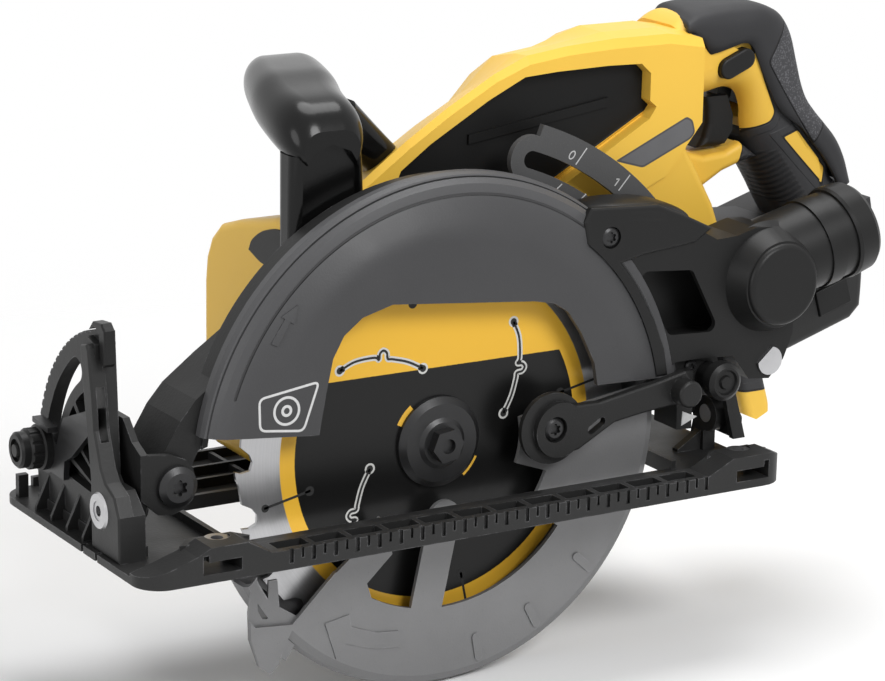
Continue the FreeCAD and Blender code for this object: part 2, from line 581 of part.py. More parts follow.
def make_front_bracket():
    x0, x1 = BRACKET_X0, BRACKET_X0 + BRACKET_T
    ky, kz = yz(QUAD_SLOT_R, CLAMP_ANG)
    web = prism_x([(BRACKET_Y0, 25.0), (BRACKET_Y0, 43.5), (0.0, 47.0), (8.0, 55.0), (20.0, 55.0), (BRACKET_Y1, 50.0),
                   (ky + 4.0, kz + 9.0), (ky + 8.0, kz), (ky + 3.0, kz - 8.0), (BRACKET_Y1, 16.0), (9.0, 12.5),
                   (-5.0, 12.5)], x0, x1)
    side = [(x0, 12.5), (x0, 43.5), (-127.0, 42.0), (-121.0, 39.5), (-117.5, 35.5), (-116.0, 29.0),
            (-117.5, 22.5), (-121.0, 19.0), (-127.0, 17.0), (-133.0, 12.5)]
    near = prism_y([(x0, 25.0)] + side[1:9] + [(-133.0, 18.0)], BRACKET_Y0, BRACKET_Y0 + BRACKET_T)
    far = prism_y([(x0, 16.0)] + side[1:9] + [(-133.0, 16.0)], BRACKET_Y1 - BRACKET_T, BRACKET_Y1)
    b = fuse(web, near, far)
    b = soften(b, 4.5, lambda e: along(e, "z") and inside(e, x=(x0 - 0.1, x0 + 0.1), y=(BRACKET_Y0 - 0.1, BRACKET_Y0 + 0.1)))
    b = b.cut(cyl_x(BEVEL_Y, BEVEL_Z, BEVEL_PIN_R + SHAFT_RUN, -160, -130))
    b = b.cut(cyl_x(ky, kz, 4.05, -160, -130))
    return b.cut(cyl_y(PIVOT_X, PIVOT_Z, PIVOT_R, -20, 40)).removeSplitter()


def make_pivot_bolt():
    head = torx_head(PIVOT_X, BRACKET_Y0, PIVOT_Z, (0, -1, 0), 8.4, 3.6, 3.4)
    shank = cyl_y(PIVOT_X, PIVOT_Z, PIVOT_R, BRACKET_Y0, BRACKET_Y1 + 1.0)
    nut = prism_y([(PIVOT_X + 8.5 * math.cos(math.radians(60 * i)), PIVOT_Z + 8.5 * math.sin(math.radians(60 * i)))
                   for i in range(6)], BRACKET_Y1, BRACKET_Y1 + 5.0)
    return fuse(head, shank, nut)


def make_bevel_quadrant():
    x0, x1 = QUAD_X0, QUAD_X1
    y, z = BEVEL_Y, BEVEL_Z
    foot_z = DECK_T
    fan_pts = [(y + 5.0, z + 12.0), (y + 9.0, z + QUAD_R_OUT - 1.2)] + [yz(QUAD_R_OUT, a) for a in range(78, -9, -4)]
    fan_pts += [(y + QUAD_R_OUT - 2.0, foot_z), (y - 9.0, foot_z), (y - 9.0, z)]
    wall = prism_x(fan_pts, x0, x1)
    teeth = None
    for i in range(20):
        c = yz(QUAD_R_OUT, 6.0 + i * 3.6)
        cut = cyl_x(c[0], c[1], 0.9, x0 - 1, x1 + 1)
        teeth = cut if teeth is None else teeth.fuse(cut)
    wall = wall.cut(teeth)
    slot = sector_x(y, z, QUAD_SLOT_R - QUAD_SLOT_W / 2, QUAD_SLOT_R + QUAD_SLOT_W / 2, CLAMP_ANG - 1.0,
                    CLAMP_ANG + BEVEL_MAX + 1.0, x0 - 1, x1 + 1)
    for a in (CLAMP_ANG - 1.0, CLAMP_ANG + BEVEL_MAX + 1.0):
        c = yz(QUAD_SLOT_R, a)
        slot = slot.fuse(cyl_x(c[0], c[1], QUAD_SLOT_W / 2, x0 - 1, x1 + 1))
    wall = wall.cut(slot)
    window = sector_x(y, z, 33.0, 49.0, 62.0, 76.0, x0 - 1, x1 + 1)
    wall = wall.cut(window)
    for a0, a1 in ((3.0, 13.0), (16.0, 28.0), (31.0, 43.0), (46.0, 58.0)):
        wall = wall.cut(sector_x(y, z, 14.0, 49.0, a0, a1, x0 - 1, x0 + 4.5))
    post = prism_x([(y + 8.0, foot_z), (y - 17.5, foot_z), (y - 17.0, 22.0), (y - 13.0, 29.5), (y - 5.0, 33.0),
                    (y - 1.0, 38.0), (y + 4.5, 52.0), (y + 6.0, 65.0), (y + 8.0, 75.0), (y + 9.5, 84.0),
                    (y + 11.5, 86.0), (y + 17.0, 84.5), (y + 14.5, 66.0), (y + 10.5, 44.0), (y + 8.5, 32.0)],
                   UPRIGHT_X0, UPRIGHT_X1)
    post = soften(post, 1.0, lambda e: inside(e, x=(UPRIGHT_X0 - 0.1, UPRIGHT_X0 + 0.1)))
    bridge_low = prism_x([(y - 17.5, foot_z), (y + 9.0, foot_z), (y + 8.0, 30.0), (y - 8.0, 30.0), (y - 17.0, 22.0)],
                         UPRIGHT_X1 - 1.0, x1)
    bridge_top = prism_x([(y + 9.0, 80.0), (y + 8.5, 86.0), (y + 16.0, 88.0), (y + 19.5, 86.0), (y + 14.0, 67.0),
                          (y + 11.0, 67.0)], x0 - 3.0, x1)
    q = fuse(wall, post, bridge_low, bridge_top)
    q = q.cut(sector_x(y, z, 27.0, 49.0, 30.0, 150.0, x0 - 3.6, x0))
    feet = prism_x([(y + QUAD_R_OUT - 2.0, foot_z), (y - 13.0, foot_z), (y - 13.0, 7.5),
                    (y + QUAD_R_OUT - 2.0, 7.5)], x0 - 1.0, x1 + 3.0)
    q = q.fuse(feet)
    for gy in (16.0, 31.0, 46.0, 61.0):
        q = q.fuse(prism_y([(x0 + 0.5, foot_z), (x0 - 6.0, foot_z), (x0 - 6.0, 5.0), (x0 + 0.5, 19.0)], gy, gy + 1.6))
    bore = cyl_x(y, z, BEVEL_PIN_R + 1.8, -170, -130)
    return biggest(q.cut(bore).removeSplitter())


def make_quadrant_bushing():
    b = turned([(UPRIGHT_X0 - 1.0, BEVEL_PIN_R), (UPRIGHT_X0 - 1.0, 7.0), (UPRIGHT_X0, 7.6), (UPRIGHT_X0, 5.8),
                (QUAD_X1, 5.8), (QUAD_X1, BEVEL_PIN_R)], (0, BEVEL_Y, BEVEL_Z), (1, 0, 0))
    return b


def make_front_bevel_pin():
    y, z = BEVEL_Y, BEVEL_Z
    pin = turned([(UPRIGHT_X0 - 0.6, 0), (UPRIGHT_X0 - 0.6, BEVEL_PIN_R - SHAFT_RUN),
                  (BRACKET_X0 - 0.0, BEVEL_PIN_R - SHAFT_RUN), (BRACKET_X0 + BRACKET_T, BEVEL_PIN_R - SHAFT_RUN),
                  (BRACKET_X0 + BRACKET_T, 5.6), (BRACKET_X0 + BRACKET_T + 2.0, 5.6),
                  (BRACKET_X0 + BRACKET_T + 2.0, 0)], (0, y, z), (1, 0, 0))
    dish = cyl_x(y, z, 2.2, UPRIGHT_X0 - 2, UPRIGHT_X0 + 3)
    return pin.cut(dish)


def make_bevel_clamp_plate():
    """Wing washer that rides over the quadrant face and carries the clamp nut."""
    x0 = QUAD_X0 - RUN - 2.6
    x1 = QUAD_X0 - RUN
    ky, kz = yz(QUAD_SLOT_R, CLAMP_ANG)
    disc = cyl_x(ky, kz, 11.0, x0, x1)
    wing = prism_x([(ky + 2.0, kz + 9.0), (12.5, 59.0), (12.0, 51.0), (33.0, 33.5), (ky - 3.0, kz - 10.0)], x0, x1)
    inner = sector_x(BEVEL_Y, BEVEL_Z, 20.0, 48.2, -10.0, 120.0, x0 - 1, x1 + 1)
    link = sector_x(BEVEL_Y, BEVEL_Z, 40.0, 62.0, CLAMP_ANG - 9.0, CLAMP_ANG + 7.0, x0, x1)
    p = fuse(wing.common(inner), link, disc)
    tab = prism_x([(ky + 3.0, kz + 10.4), (ky + 3.0, kz + 12.6), (ky - 12.0, kz + 11.4), (ky - 12.0, kz + 9.2)],
                  x0 - 4.0, x0 + 0.5)
    p = fuse(p, tab)
    return p.cut(cyl_x(ky, kz, 4.05, -170, -130)).removeSplitter()


def make_bevel_knob():
    """Round ribbed clamp nut with its stud through the quadrant slot."""
    ky, kz = yz(QUAD_SLOT_R, CLAMP_ANG)
    x1 = QUAD_X0 - RUN - 2.6
    nut = turned([(x1, 0), (x1, 9.6), (x1 - 3.0, 9.6), (x1 - 3.6, 8.6), (x1 - 8.0, 8.6), (x1 - 9.0, 7.6),
                  (x1 - 12.0, 7.6), (x1 - 13.0, 6.6), (x1 - 13.0, 4.8), (x1 - 11.4, 4.8), (x1 - 11.4, 3.2),
                  (x1 - 13.6, 2.6), (x1 - 13.6, 0)], (0, ky, kz), (1, 0, 0))
    for i in range(12):
        a = math.radians(30 * i)
        nut = nut.cut(cyl_x(ky + 9.1 * math.cos(a), kz + 9.1 * math.sin(a), 1.0, x1 - 13.2, x1 - 3.6))
    return nut.removeSplitter()


def make_bevel_stud():
    ky, kz = yz(QUAD_SLOT_R, CLAMP_ANG)
    x1 = QUAD_X0 - RUN - 2.6
    head = prism_x([(ky + 7.0 * math.cos(math.radians(60 * i)), kz + 7.0 * math.sin(math.radians(60 * i)))
                    for i in range(6)], BRACKET_X0 + BRACKET_T, BRACKET_X0 + BRACKET_T + 4.0)
    return fuse(head, cyl_x(ky, kz, 4.0, x1, BRACKET_X0 + BRACKET_T + 1.0))


def make_quadrant_clip():
    """Spring clip over the top of the quadrant wall."""
    y, z = BEVEL_Y, BEVEL_Z
    top = z + QUAD_R_OUT
    clip = prism_x([(y + 18.0, top - 2.0), (y + 14.0, top + 2.2), (y + 6.0, top + 3.0), (y + 3.0, top + 0.4),
                    (y + 2.6, top - 13.0), (y + 4.6, top - 14.6), (y + 7.6, top - 13.0), (y + 8.6, top - 1.5),
                    (y + 12.0, top + 0.0)], QUAD_X0 - 1.6, QUAD_X0 + 3.0)
    return soften(clip, 0.8, lambda e: inside(e, x=(QUAD_X0 - 1.7, QUAD_X0 - 1.5)))


# ---------------------------------------------------------------- shoe
def make_shoe():
    deck = box(SHOE_X0, SHOE_X1, SHOE_Y0, SHOE_Y1, 0, DECK_T)
    deck = soften(deck, SOLE_EDGE_R, lambda e: along(e, "z"))
    deck = deck.cut(box(SLOT_X0, SLOT_X1, SLOT_Y0, SLOT_Y1, -1, DECK_T + 1))
    side = prism_y([(SHOE_X0, 0), (SHOE_X0, 4.6), (-148.0, 7.0), (-134.0, 11.5), (-128.0, BLOCK_H), (-112.0, BLOCK_H),
                    (-101.0, BAR_H), (108.5, BAR_H), (121.5, BLOCK_H), (142.5, BLOCK_H), (SHOE_X1, 10.8),
                    (SHOE_X1, 0)], SHOE_Y0, SHOE_Y0 + BAR_W)
    rounded = soften(box(SHOE_X0, SHOE_X1, SHOE_Y0, SHOE_Y0 + 60, 0, 30), SOLE_EDGE_R,
                     lambda e: along(e, "z") and inside(e, y=(SHOE_Y0 - 0.1, SHOE_Y0 + 0.1)))
    shoe = deck.fuse(side.common(rounded))
    x = -97.0
    while x < 100.0:
        shoe = shoe.cut(box(x, x + 14.4, SHOE_Y0 + 3.6, SHOE_Y0 + BAR_W - 2.6, 3.0, BAR_H + 1))
        x += 17.0
    for bx in (-119.0, 133.0):
        shoe = shoe.fuse(prism_z([(bx - 17.0, SHOE_Y0 + BAR_W - 2), (bx + 14.0, SHOE_Y0 + BAR_W - 2),
                                  (bx + 9.0, SHOE_Y0 + BAR_W + 5.0), (bx - 11.0, SHOE_Y0 + BAR_W + 5.0)],
                                 0, BLOCK_H - 1.6))
        shoe = shoe.cut(cyl_z(bx, SHOE_Y0 + 13.0, 4.2, FENCE_Z0 + FENCE_H, 20))
        shoe = shoe.cut(cyl_z(bx, SHOE_Y0 + 13.0, 5.2, BLOCK_H - 1.6, 20))
    for i in range(NOTCH_COUNT):
        nx = NOTCH_X0 + i * NOTCH_PITCH
        long_one = i % 2 == 0
        depth = 5.6 if long_one else 4.0
        w = 0.9 if long_one else 0.6
        shoe = shoe.cut(box(nx - w, nx + w, SHOE_Y0 - 1, SHOE_Y0 + 1.4, BAR_H - depth, BAR_H + 1))
    for fx in (-131.5, 123.3):
        shoe = shoe.cut(box(fx, fx + 16.9, SHOE_Y0 - 1, SHOE_Y0 + BAR_W + 30.0, FENCE_Z0, FENCE_Z0 + FENCE_H))
    shoe = shoe.cut(box(-131.5, -128.9, SHOE_Y0 - 1, SHOE_Y0 + 3.0, FENCE_Z0, 11.4))
    shoe = shoe.cut(box(137.6, 140.2, SHOE_Y0 - 1, SHOE_Y0 + 3.0, FENCE_Z0, 11.4))
    lip = box(SLOT_X0 - 2.4, SLOT_X0, SLOT_Y0 - 2.0, SLOT_Y1 + 2.4, 0, 7.0)
    lip = lip.fuse(box(SLOT_X1, SLOT_X1 + 2.4, SLOT_Y0 - 2.0, SLOT_Y1 + 2.4, 0, 7.0))
    lip = lip.fuse(box(SLOT_X0, SLOT_X1, SLOT_Y1, SLOT_Y1 + 2.4, 0, 6.0))
    shoe = shoe.fuse(lip)
    for ry in (56.0, 72.0):
        shoe = shoe.fuse(box(-132.0, SHOE_X1 - 8.0, ry, ry + 1.8, 0, 7.4))
    for rx in (-132.0, -60.0, 0.0, 60.0, 118.0):
        shoe = shoe.fuse(box(rx, rx + 1.8, SLOT_Y1, SHOE_Y1 - 2.0, 0, 6.6))
    shoe = shoe.fuse(box(SHOE_X0 + 14.0, SHOE_X1 - 14.0, SHOE_Y1 - 2.4, SHOE_Y1, 0, 7.4))
    for cy in (0.0, 13.0):
        shoe = shoe.cut(box(SHOE_X0 - 1, SHOE_X0 + 2.4, cy - 1.0, cy + 1.0, -1, 10))
    shoe = shoe.fuse(box(-154.0, -149.5, 80.0, 83.0, 0, 13.0))
    lug_x0, lug_x1 = WEB_X0 - 6.6, WEB_X0 - RUN
    lug = prism_x([(BEVEL_Y + 1.0, 0), (BEVEL_Y + 13.0, 0), (BEVEL_Y + 8.0, BEVEL_Z), (BEVEL_Y - 6.0, BEVEL_Z - 5.0),
                   (BEVEL_Y + 1.0, BEVEL_Z - 8.5)], lug_x0, lug_x1)
    lug = lug.fuse(cyl_x(BEVEL_Y, BEVEL_Z, 8.0, lug_x0, lug_x1))
    shoe = shoe.fuse(lug).cut(cyl_x(BEVEL_Y, BEVEL_Z, BEVEL_PIN_R, 130, 160))
    shoe = shoe.fuse(prism_y([(lug_x0 + 0.5, 0), (lug_x0 - 12.0, 0), (lug_x0 - 12.0, 4.5), (lug_x0 + 0.5, 12.0)],
                             BEVEL_Y + 3.0, BEVEL_Y + 7.0))
    return biggest(shoe.removeSplitter())


def make_insert(bx):
    y = SHOE_Y0 + 13.0
    top = BLOCK_H - 1.6
    i = cyl_z(bx, y, 4.2, FENCE_Z0 + FENCE_H, top).fuse(cyl_z(bx, y, 5.2, top, top + 0.8))
    return i.cut(cyl_z(bx, y, 2.5, -1, 20)).removeSplitter()


# ---------------------------------------------------------------- rear bracket and depth strap
def make_rear_bracket():
    y0 = REAR_Y0
    near = prism_y([(137.0, 34.5), (138.3, 32.9), (143.9, 11.5), (150.2, 11.5), (144.4, 32.0), (143.5, 38.5),
                    (138.4, 37.5)], y0, y0 + 3.0)
    web = prism_x([(y0, 11.5), (y0, 21.0), (BEVEL_Y - 8.0, 27.0), (BEVEL_Y + 5.0, 27.0), (STRAP_Y0 - 1.0, 17.0),
                   (17.4, 17.0), (17.4, 11.5)], WEB_X0, WEB_X1)
    far = prism_y([(139.4, 27.0), (138.6, 34.0), (143.0, 38.5), (148.2, 36.0), (149.4, 24.0), (WEB_X1, 11.5),
                   (144.0, 11.5), (143.0, 20.0)], STRAP_Y0 + STRAP_T + 1.4, 17.4)
    b = fuse(near, web, far)
    b = b.cut(cyl_x(BEVEL_Y, BEVEL_Z, BEVEL_PIN_R + SHAFT_RUN, 130, 160))
    b = b.cut(cyl_y(STRAP_X, STRAP_Z, 3.0, 10, 20))
    return b.removeSplitter()


def make_rear_bevel_pin():
    y, z = BEVEL_Y, BEVEL_Z
    return turned([(WEB_X0 - 7.0, 0), (WEB_X0 - 7.0, BEVEL_PIN_R), (WEB_X1 + RUN, BEVEL_PIN_R), (WEB_X1 + RUN, 6.6),
                   (WEB_X1 + 2.3, 6.0), (WEB_X1 + 2.3, 0)], (0, y, z), (1, 0, 0))


def strap_path(step):
    """Centre line of the strap slot at rest, from the way the body swings on its front pivot."""
    out = []
    n = step
    for i in range(n + 1):
        t = math.radians(DEPTH_MAX * i / n)
        dx, dz = LOCK_X - PIVOT_X, LOCK_Z - PIVOT_Z
        px = PIVOT_X + dx * math.cos(t) - dz * math.sin(t)
        pz = PIVOT_Z + dx * math.sin(t) + dz * math.cos(t)
        u = -STRAP_RATIO * t
        rx, rz = px - STRAP_X, pz - STRAP_Z
        out.append((STRAP_X + rx * math.cos(u) - rz * math.sin(u),
                    STRAP_Z + rx * math.sin(u) + rz * math.cos(u)))
    return out


def spline_band(path, left, right, y0, y1):
    """Band body either side of a path in the XZ plane, smooth edges, square ends."""
    la, ra = [], []
    for i, (x, z) in enumerate(path):
        a = path[max(0, i - 1)]
        b = path[min(len(path) - 1, i + 1)]
        dx, dz = b[0] - a[0], b[1] - a[1]
        n = math.hypot(dx, dz)
        nx, nz = -dz / n, dx / n
        la.append(V(x + nx * left, y0, z + nz * left))
        ra.append(V(x - nx * right, y0, z - nz * right))
    e1 = Part.BSplineCurve()
    e1.interpolate(la)
    e2 = Part.BSplineCurve()
    e2.interpolate(ra[::-1])
    w = Part.Wire([e1.toShape(), Part.makeLine(la[-1], ra[-1]), e2.toShape(), Part.makeLine(ra[0], la[0])])
    return Part.Face(w).extrude(V(0, y1 - y0, 0))


def make_depth_strap():
    y0, y1 = STRAP_Y0, STRAP_Y0 + STRAP_T
    path = strap_path(12)
    body = spline_band(path, 10.5, 15.5, y0, y1)
    ex, ez = path[-1]
    body = body.fuse(cyl_y(ex, ez, 10.4, y0, y1))
    body = body.fuse(prism_y([(LOCK_X - 10.5, LOCK_Z + 1.0), (LOCK_X - 9.0, LOCK_Z - 9.0), (137.5, 18.5),
                              (148.5, 19.0), (151.0, 31.0), (149.5, LOCK_Z + 5.0), (LOCK_X + 6.0, LOCK_Z + 10.0)], y0, y1))
    body = body.fuse(cyl_y(LOCK_X, LOCK_Z, 8.5, y0, y1))
    slot = spline_band(path, LOCK_R + RUN, LOCK_R + RUN, y0 - 1, y1 + 1)
    slot = slot.fuse([cyl_y(LOCK_X, LOCK_Z, LOCK_R + RUN, y0 - 1, y1 + 1),
                      cyl_y(ex, ez, LOCK_R + RUN, y0 - 1, y1 + 1)])
    body = body.cut(slot)
    body = body.cut(cyl_y(STRAP_X, STRAP_Z, 3.0 + SHAFT_RUN, y0 - 1, y1 + 1))
    return body.removeSplitter()


def make_strap_pin():
    y1 = STRAP_Y0 + STRAP_T
    return fuse(cyl_y(STRAP_X, STRAP_Z, 3.0, STRAP_Y0 - 0.2, 17.4), cyl_y(STRAP_X, STRAP_Z, 4.8, STRAP_Y0 - 1.0, STRAP_Y0 - 0.2),
                cyl_y(STRAP_X, STRAP_Z, 4.8, 17.4, 18.6))


def make_depth_knob():
    """Dished round head of the depth clamp bolt, with the bolt."""
    x, z = LOCK_X, LOCK_Z
    head = turned([(-23.0, 0), (-23.0, 2.6), (-21.8, 3.2), (-21.8, 5.0), (-23.0, 5.6), (-23.0, 6.6), (-21.6, 8.4),
                   (-16.4, 8.4), (-15.6, 6.2), (-8.2, 6.2), (-8.2, 0)], (x, 0, z), (0, 1, 0))
    return fuse(head, cyl_y(x, z, LOCK_R, -8.3, 24.0))


def make_depth_lever():
    x, z = LOCK_X, LOCK_Z
    y0 = STRAP_Y0 + STRAP_T + RUN
    y1, y2 = 18.0, 23.0
    hub = cyl_y(x, z, 5.4, y0, y1).fuse(cyl_y(x, z, 9.0, y1, y2))
    arm = prism_y([(x - 7.0, z + 4.0), (x - 2.0, z + 34.0), (x + 2.0, z + 46.0), (x + 9.0, z + 47.0),
                   (x + 11.0, z + 40.0), (x + 8.0, z + 18.0), (x + 8.5, z + 2.0)], y1, y2)
    arm = soften(arm, 1.0, lambda e: inside(e, y=(y2 - 0.1, y2 + 0.1)))
    return fuse(hub, arm).cut(cyl_y(x, z, LOCK_R, 0, 40)).removeSplitter()


# ---------------------------------------------------------------- dust chute
CHUTE_Y0, CHUTE_Y1 = -12.6, 9.2
CHUTE_R = 102.4
PORT_X, PORT_Y, PORT_Z = 160.0, -3.0, 85.6
PORT_TILT = 14.0
PORT_R = 19.5
PORT_BORE = 35.0


def chute_tube_axis():
    a = math.radians(PORT_TILT)
    return V(PORT_X, PORT_Y, PORT_Z), V(math.cos(a), 0, math.sin(a))


def make_chute_block():
    """Solid envelope of the chute, used to trim the castings it is bolted to."""
    near, far = CHUTE_Y0, CHUTE_Y1
    main = prism_y([(62.0, 116.0), (66.0, 119.0), (100.0, 116.0), (118.0, 110.0), (131.5, 102.5), (142.0, 103.0),
                    (152.0, 105.5), (160.0, 105.0), (168.0, 99.0), (174.0, 78.0), (174.0, 56.0), (169.6, 45.0),
                    (162.0, 36.8), (151.0, 38.0), (146.5, 44.0), (142.0, 49.4), (124.0, 50.5), (112.0, 50.5),
                    (102.5, 45.6), (90.0, 45.6), (80.0, 70.0), (62.0, 96.0)], near, far)
    main = soften(main, 2.2, lambda e: inside(e, y=(near - 0.1, near + 0.1)) and e.Length > 6.0)
    flange = prism_y([(61.5, 117.5), (65.0, 123.5), (99.0, 121.5), (112.0, 116.0), (127.5, 108.5), (119.0, 103.0),
                      (92.0, 100.5), (81.2, 98.0), (90.4, 86.0), (99.2, 71.0), (104.6, 58.0), (107.0, 45.6),
                      (98.0, 45.6), (88.0, 70.0), (66.0, 96.0)], GUARD_Y0 - 0.8, near + 1.0)
    flange = soften(flange, 1.4, lambda e: inside(e, y=(GUARD_Y0 - 0.9, GUARD_Y0 - 0.7)) and e.Length > 6.0)
    block = main.fuse(flange).cut(cyl_y(0, ARBOR_Z, CHUTE_R, -40, 40))
    inside_r = cyl_y(0, ARBOR_Z, LOWER_R + 1.0, LOWER_Y0 - 1.7, 6.5)
    return block.cut(inside_r).removeSplitter()


def make_dust_chute(block):
    near, far = CHUTE_Y0, CHUTE_Y1
    base, d = chute_tube_axis()
    tube = Part.makeCylinder(PORT_R, 42.0, base, d)
    boss = cyl_y(base.x, base.z - 4.0, 18.2, -24.5, 6.0)
    boss = soften(boss, 2.5, lambda e: inside(e, y=(-24.6, -24.4)))
    skirt = turned([(-24.5, 0), (-22.0, 19.0), (-12.0, 23.5), (-9.0, 25.5), (-9.0, 0)],
                   (base.x, 0, base.z - 4.0), (0, 1, 0))
    bands = Part.makeCylinder(PORT_R + 0.9, 7.5, base + d * 27.0, d)
    collar = turned([(41.5, 0), (41.5, 20.6), (43.0, 21.2), (52.0, 20.4), (54.0, 18.9), (54.0, 0)],
                    (base.x, base.y, base.z), (d.x, d.y, d.z))
    neck = Part.makeCylinder(PORT_R - 1.2, 9.0, base + d * 34.0, d)
    body = block.fuse([tube, boss, skirt, bands, neck, collar])
    inner = prism_y([(78.0, 110.0), (112.0, 101.0), (150.0, 102.0), (162.0, 92.0), (168.0, 74.0), (166.0, 58.0),
                     (102.0, 60.0), (90.0, 88.0)], near + 2.6, far - 2.4)
    mouth = ring_y(0, ARBOR_Z, 112.0, 100.0, near + 2.6, far - 2.4).common(
        prism_y([(60.0, 112.0), (84.0, 118.0), (130.0, 60.0), (90.0, 56.0)], -20, 20))
    cavity = inner.fuse(mouth)
    win = prism_y([(89.5, 93.0), (119.0, 90.5), (134.5, 61.5), (107.8, 63.0)], GUARD_Y0 - 4.0, near + 3.0)
    win = soften(win, 3.5, lambda e: along(e, "y"))
    bore = Part.makeCylinder(PORT_BORE / 2, 60.0, base - d * 4.0, d)
    body = body.cut(cavity).cut(win).cut(bore).cut(cyl_y(LOCK_X, LOCK_Z, 8.4, -30.0, -8.2))
    body = body.cut(box(40.0, 260.0, far, 60.0, 0.0, 70.0)).cut(strap_sweep())
    return biggest(body.removeSplitter())


def strap_sweep():
    """Space the depth strap needs beside the chute through the whole depth travel."""
    return prism_y([(30.0, 60.0), (30.0, 160.0), (150.0, 160.0), (158.0, 60.0)], STRAP_Y0 - 0.7, STRAP_Y0 + STRAP_T + 0.7)


def make_chute_stud():
    """Bright half-moon cap let into the lower corner of the chute."""
    c = cyl_y(161.6, 45.0, 6.3, CHUTE_Y0 - 1.2, CHUTE_Y0 + 1.0)
    return c.common(prism_y([(150.0, 40.0), (166.0, 54.0), (176.0, 46.0), (166.0, 30.0)], -20, 0))


# ---------------------------------------------------------------- motor housing and main handle



def arm_section(x, near_z, drops, bottom):
    """Cross-section of the top arm at station x; drops give the roof from the near edge outwards."""
    ys = (22.0, 24.5, 34.0, 52.0, 70.0, 78.0)
    pts = [V(x, 22.0, bottom), V(x, 22.0, near_z - 2.0)]
    pts += [V(x, y, near_z + d) for y, d in zip(ys[1:], drops)]
    pts.append(V(x, 78.0, bottom))
    return Part.makePolygon(pts + [pts[0]])


def make_shell_blank():
    barrel = prism_x([(SHELL_Y0, 14.0), (SHELL_Y0, 125.5), (30.0, 123.5), (62.0, 116.0), (78.0, 111.0), (86.0, 104.0),
                      (90.5, 95.0), (SHELL_Y1, 84.0), (SHELL_Y1, 26.0), (89.0, 18.0), (82.0, 13.0), (26.0, 12.0)],
                     -62.0, 62.0)
    barrel = soften(barrel, 4.0, lambda e: inside(e, x=(-62.1, -61.9)))
    steep = (1.0, -3.0, -12.0, -25.0, -33.0)
    easing = (1.6, 1.0, -3.0, -14.0, -22.0)
    flat = (2.0, 3.4, 3.4, -3.0, -10.0)
    stations = [(-26.0, 133.0, steep, 96.0), (-2.0, 150.0, steep, 96.0), (18.0, 162.5, steep, 96.0),
                (40.0, 174.5, steep, 96.0), (56.0, 180.5, easing, 98.0), (76.0, 183.0, easing, 104.0),
                (100.0, 184.0, flat, 112.0), (128.0, 184.0, flat, 124.0), (146.0, 181.0, flat, 146.0)]
    top = Part.makeLoft([arm_section(*st) for st in stations], True, True)
    post = prism_y([(56.0, 14.0), (112.0, 30.0), (120.0, 62.0), (158.0, 64.0), (162.0, 92.0), (156.0, 108.0),
                    (147.0, 124.0), (141.0, 134.0), (146.0, 150.0), (118.0, 130.0), (56.0, 104.0)], 24.0, 76.0)
    post = soften(post, 4.0, lambda e: inside(e, y=(23.9, 24.1)))
    horn = prism_y([(140.0, 134.0), (150.0, 129.5), (158.0, 127.0), (170.0, 128.0), (178.0, 131.5), (188.0, 124.0),
                    (180.0, 122.5), (168.8, 119.0), (159.0, 113.5), (150.0, 112.0)], 36.0, 64.0)
    horn = soften(horn, 3.0, lambda e: e.Length > 4.0 and (inside(e, y=(35.9, 36.1)) or inside(e, y=(63.9, 64.1))))
    return barrel, top, post, horn


def grip_section(front, rear, width, r):
    """Rounded section between a front and a rear point of the handle's side view."""
    dx, dz = rear[0] - front[0], rear[1] - front[1]
    n = math.hypot(dx, dz)
    c = ((front[0] + rear[0]) / 2, HANDLE_Y, (front[1] + rear[1]) / 2)
    return rounded_section(c, (dx / n, 0, dz / n), (0, 1, 0), n, width, r)


def make_handle_core():
    """Loft from the top arm round the hand grip down to the battery foot."""
    secs = [((140.0, 152.0), (140.0, 186.5), 42.0, 12.0), ((152.0, 154.0), (154.0, 189.0), 40.0, 13.0),
            ((166.0, 156.0), (171.0, 191.5), 40.0, 14.0), ((175.5, 154.0), (192.5, 187.5), 40.0, 14.0),
            ((179.0, 144.0), (203.0, 169.5), 39.0, 14.0), ((181.0, 133.0), (207.5, 151.5), 38.0, 14.0),
            ((187.5, 121.0), (218.5, 137.5), 37.0, 15.0), ((197.0, 106.5), (229.5, 124.0), 37.0, 15.0),
            ((206.0, 93.5), (239.0, 107.5), 39.0, 14.0), ((210.0, 86.0), (243.0, 96.0), 44.0, 12.0)]
    return Part.makeLoft([grip_section(*sec) for sec in secs], True, False)


def batt_place(shape):
    """Moves a shape from the battery's own frame to its tilted place under the grip."""
    shape.rotate(V(0, 0, 0), V(0, 1, 0), -BATT_TILT)
    shape.translate(V(BATT_X, 0, BATT_Z))
    return shape


def batt_box(u0, u1, w0, w1, y0, y1):
    """Box in the tilted frame of the battery foot."""
    return batt_place(box(u0, u1, y0, y1, w0, w1))


def batt_prism(pts, y0, y1):
    """Prism across the tilted frame of the battery foot."""
    return batt_place(prism_y(pts, y0, y1))


def make_foot():
    """Battery shoe under the grip, tilted like the battery."""
    f = batt_prism([(-44.0, BATT_H + SEAT), (37.5, BATT_H + SEAT), (41.0, 41.0), (42.0, 52.0), (-30.0, 52.0),
                    (-44.0, 62.0)], BATT_Y0, BATT_Y1)
    f = soften(f, 4.0, lambda e: e.Length > 9 and inside(e, z=(76, 140)))
    toe = batt_prism([(-44.5, -22.0), (-40.0, -26.0), (-33.0, -25.0), (-30.0 - SEAT, -19.0), (-30.0 - SEAT, 40.0),
                      (-44.5, 40.0)], BATT_Y0 + 4.0, BATT_Y1 - 4.0)
    toe = soften(toe, 4.0, lambda e: e.Length > 20 and not along(e, "y"))
    return f.fuse(toe)


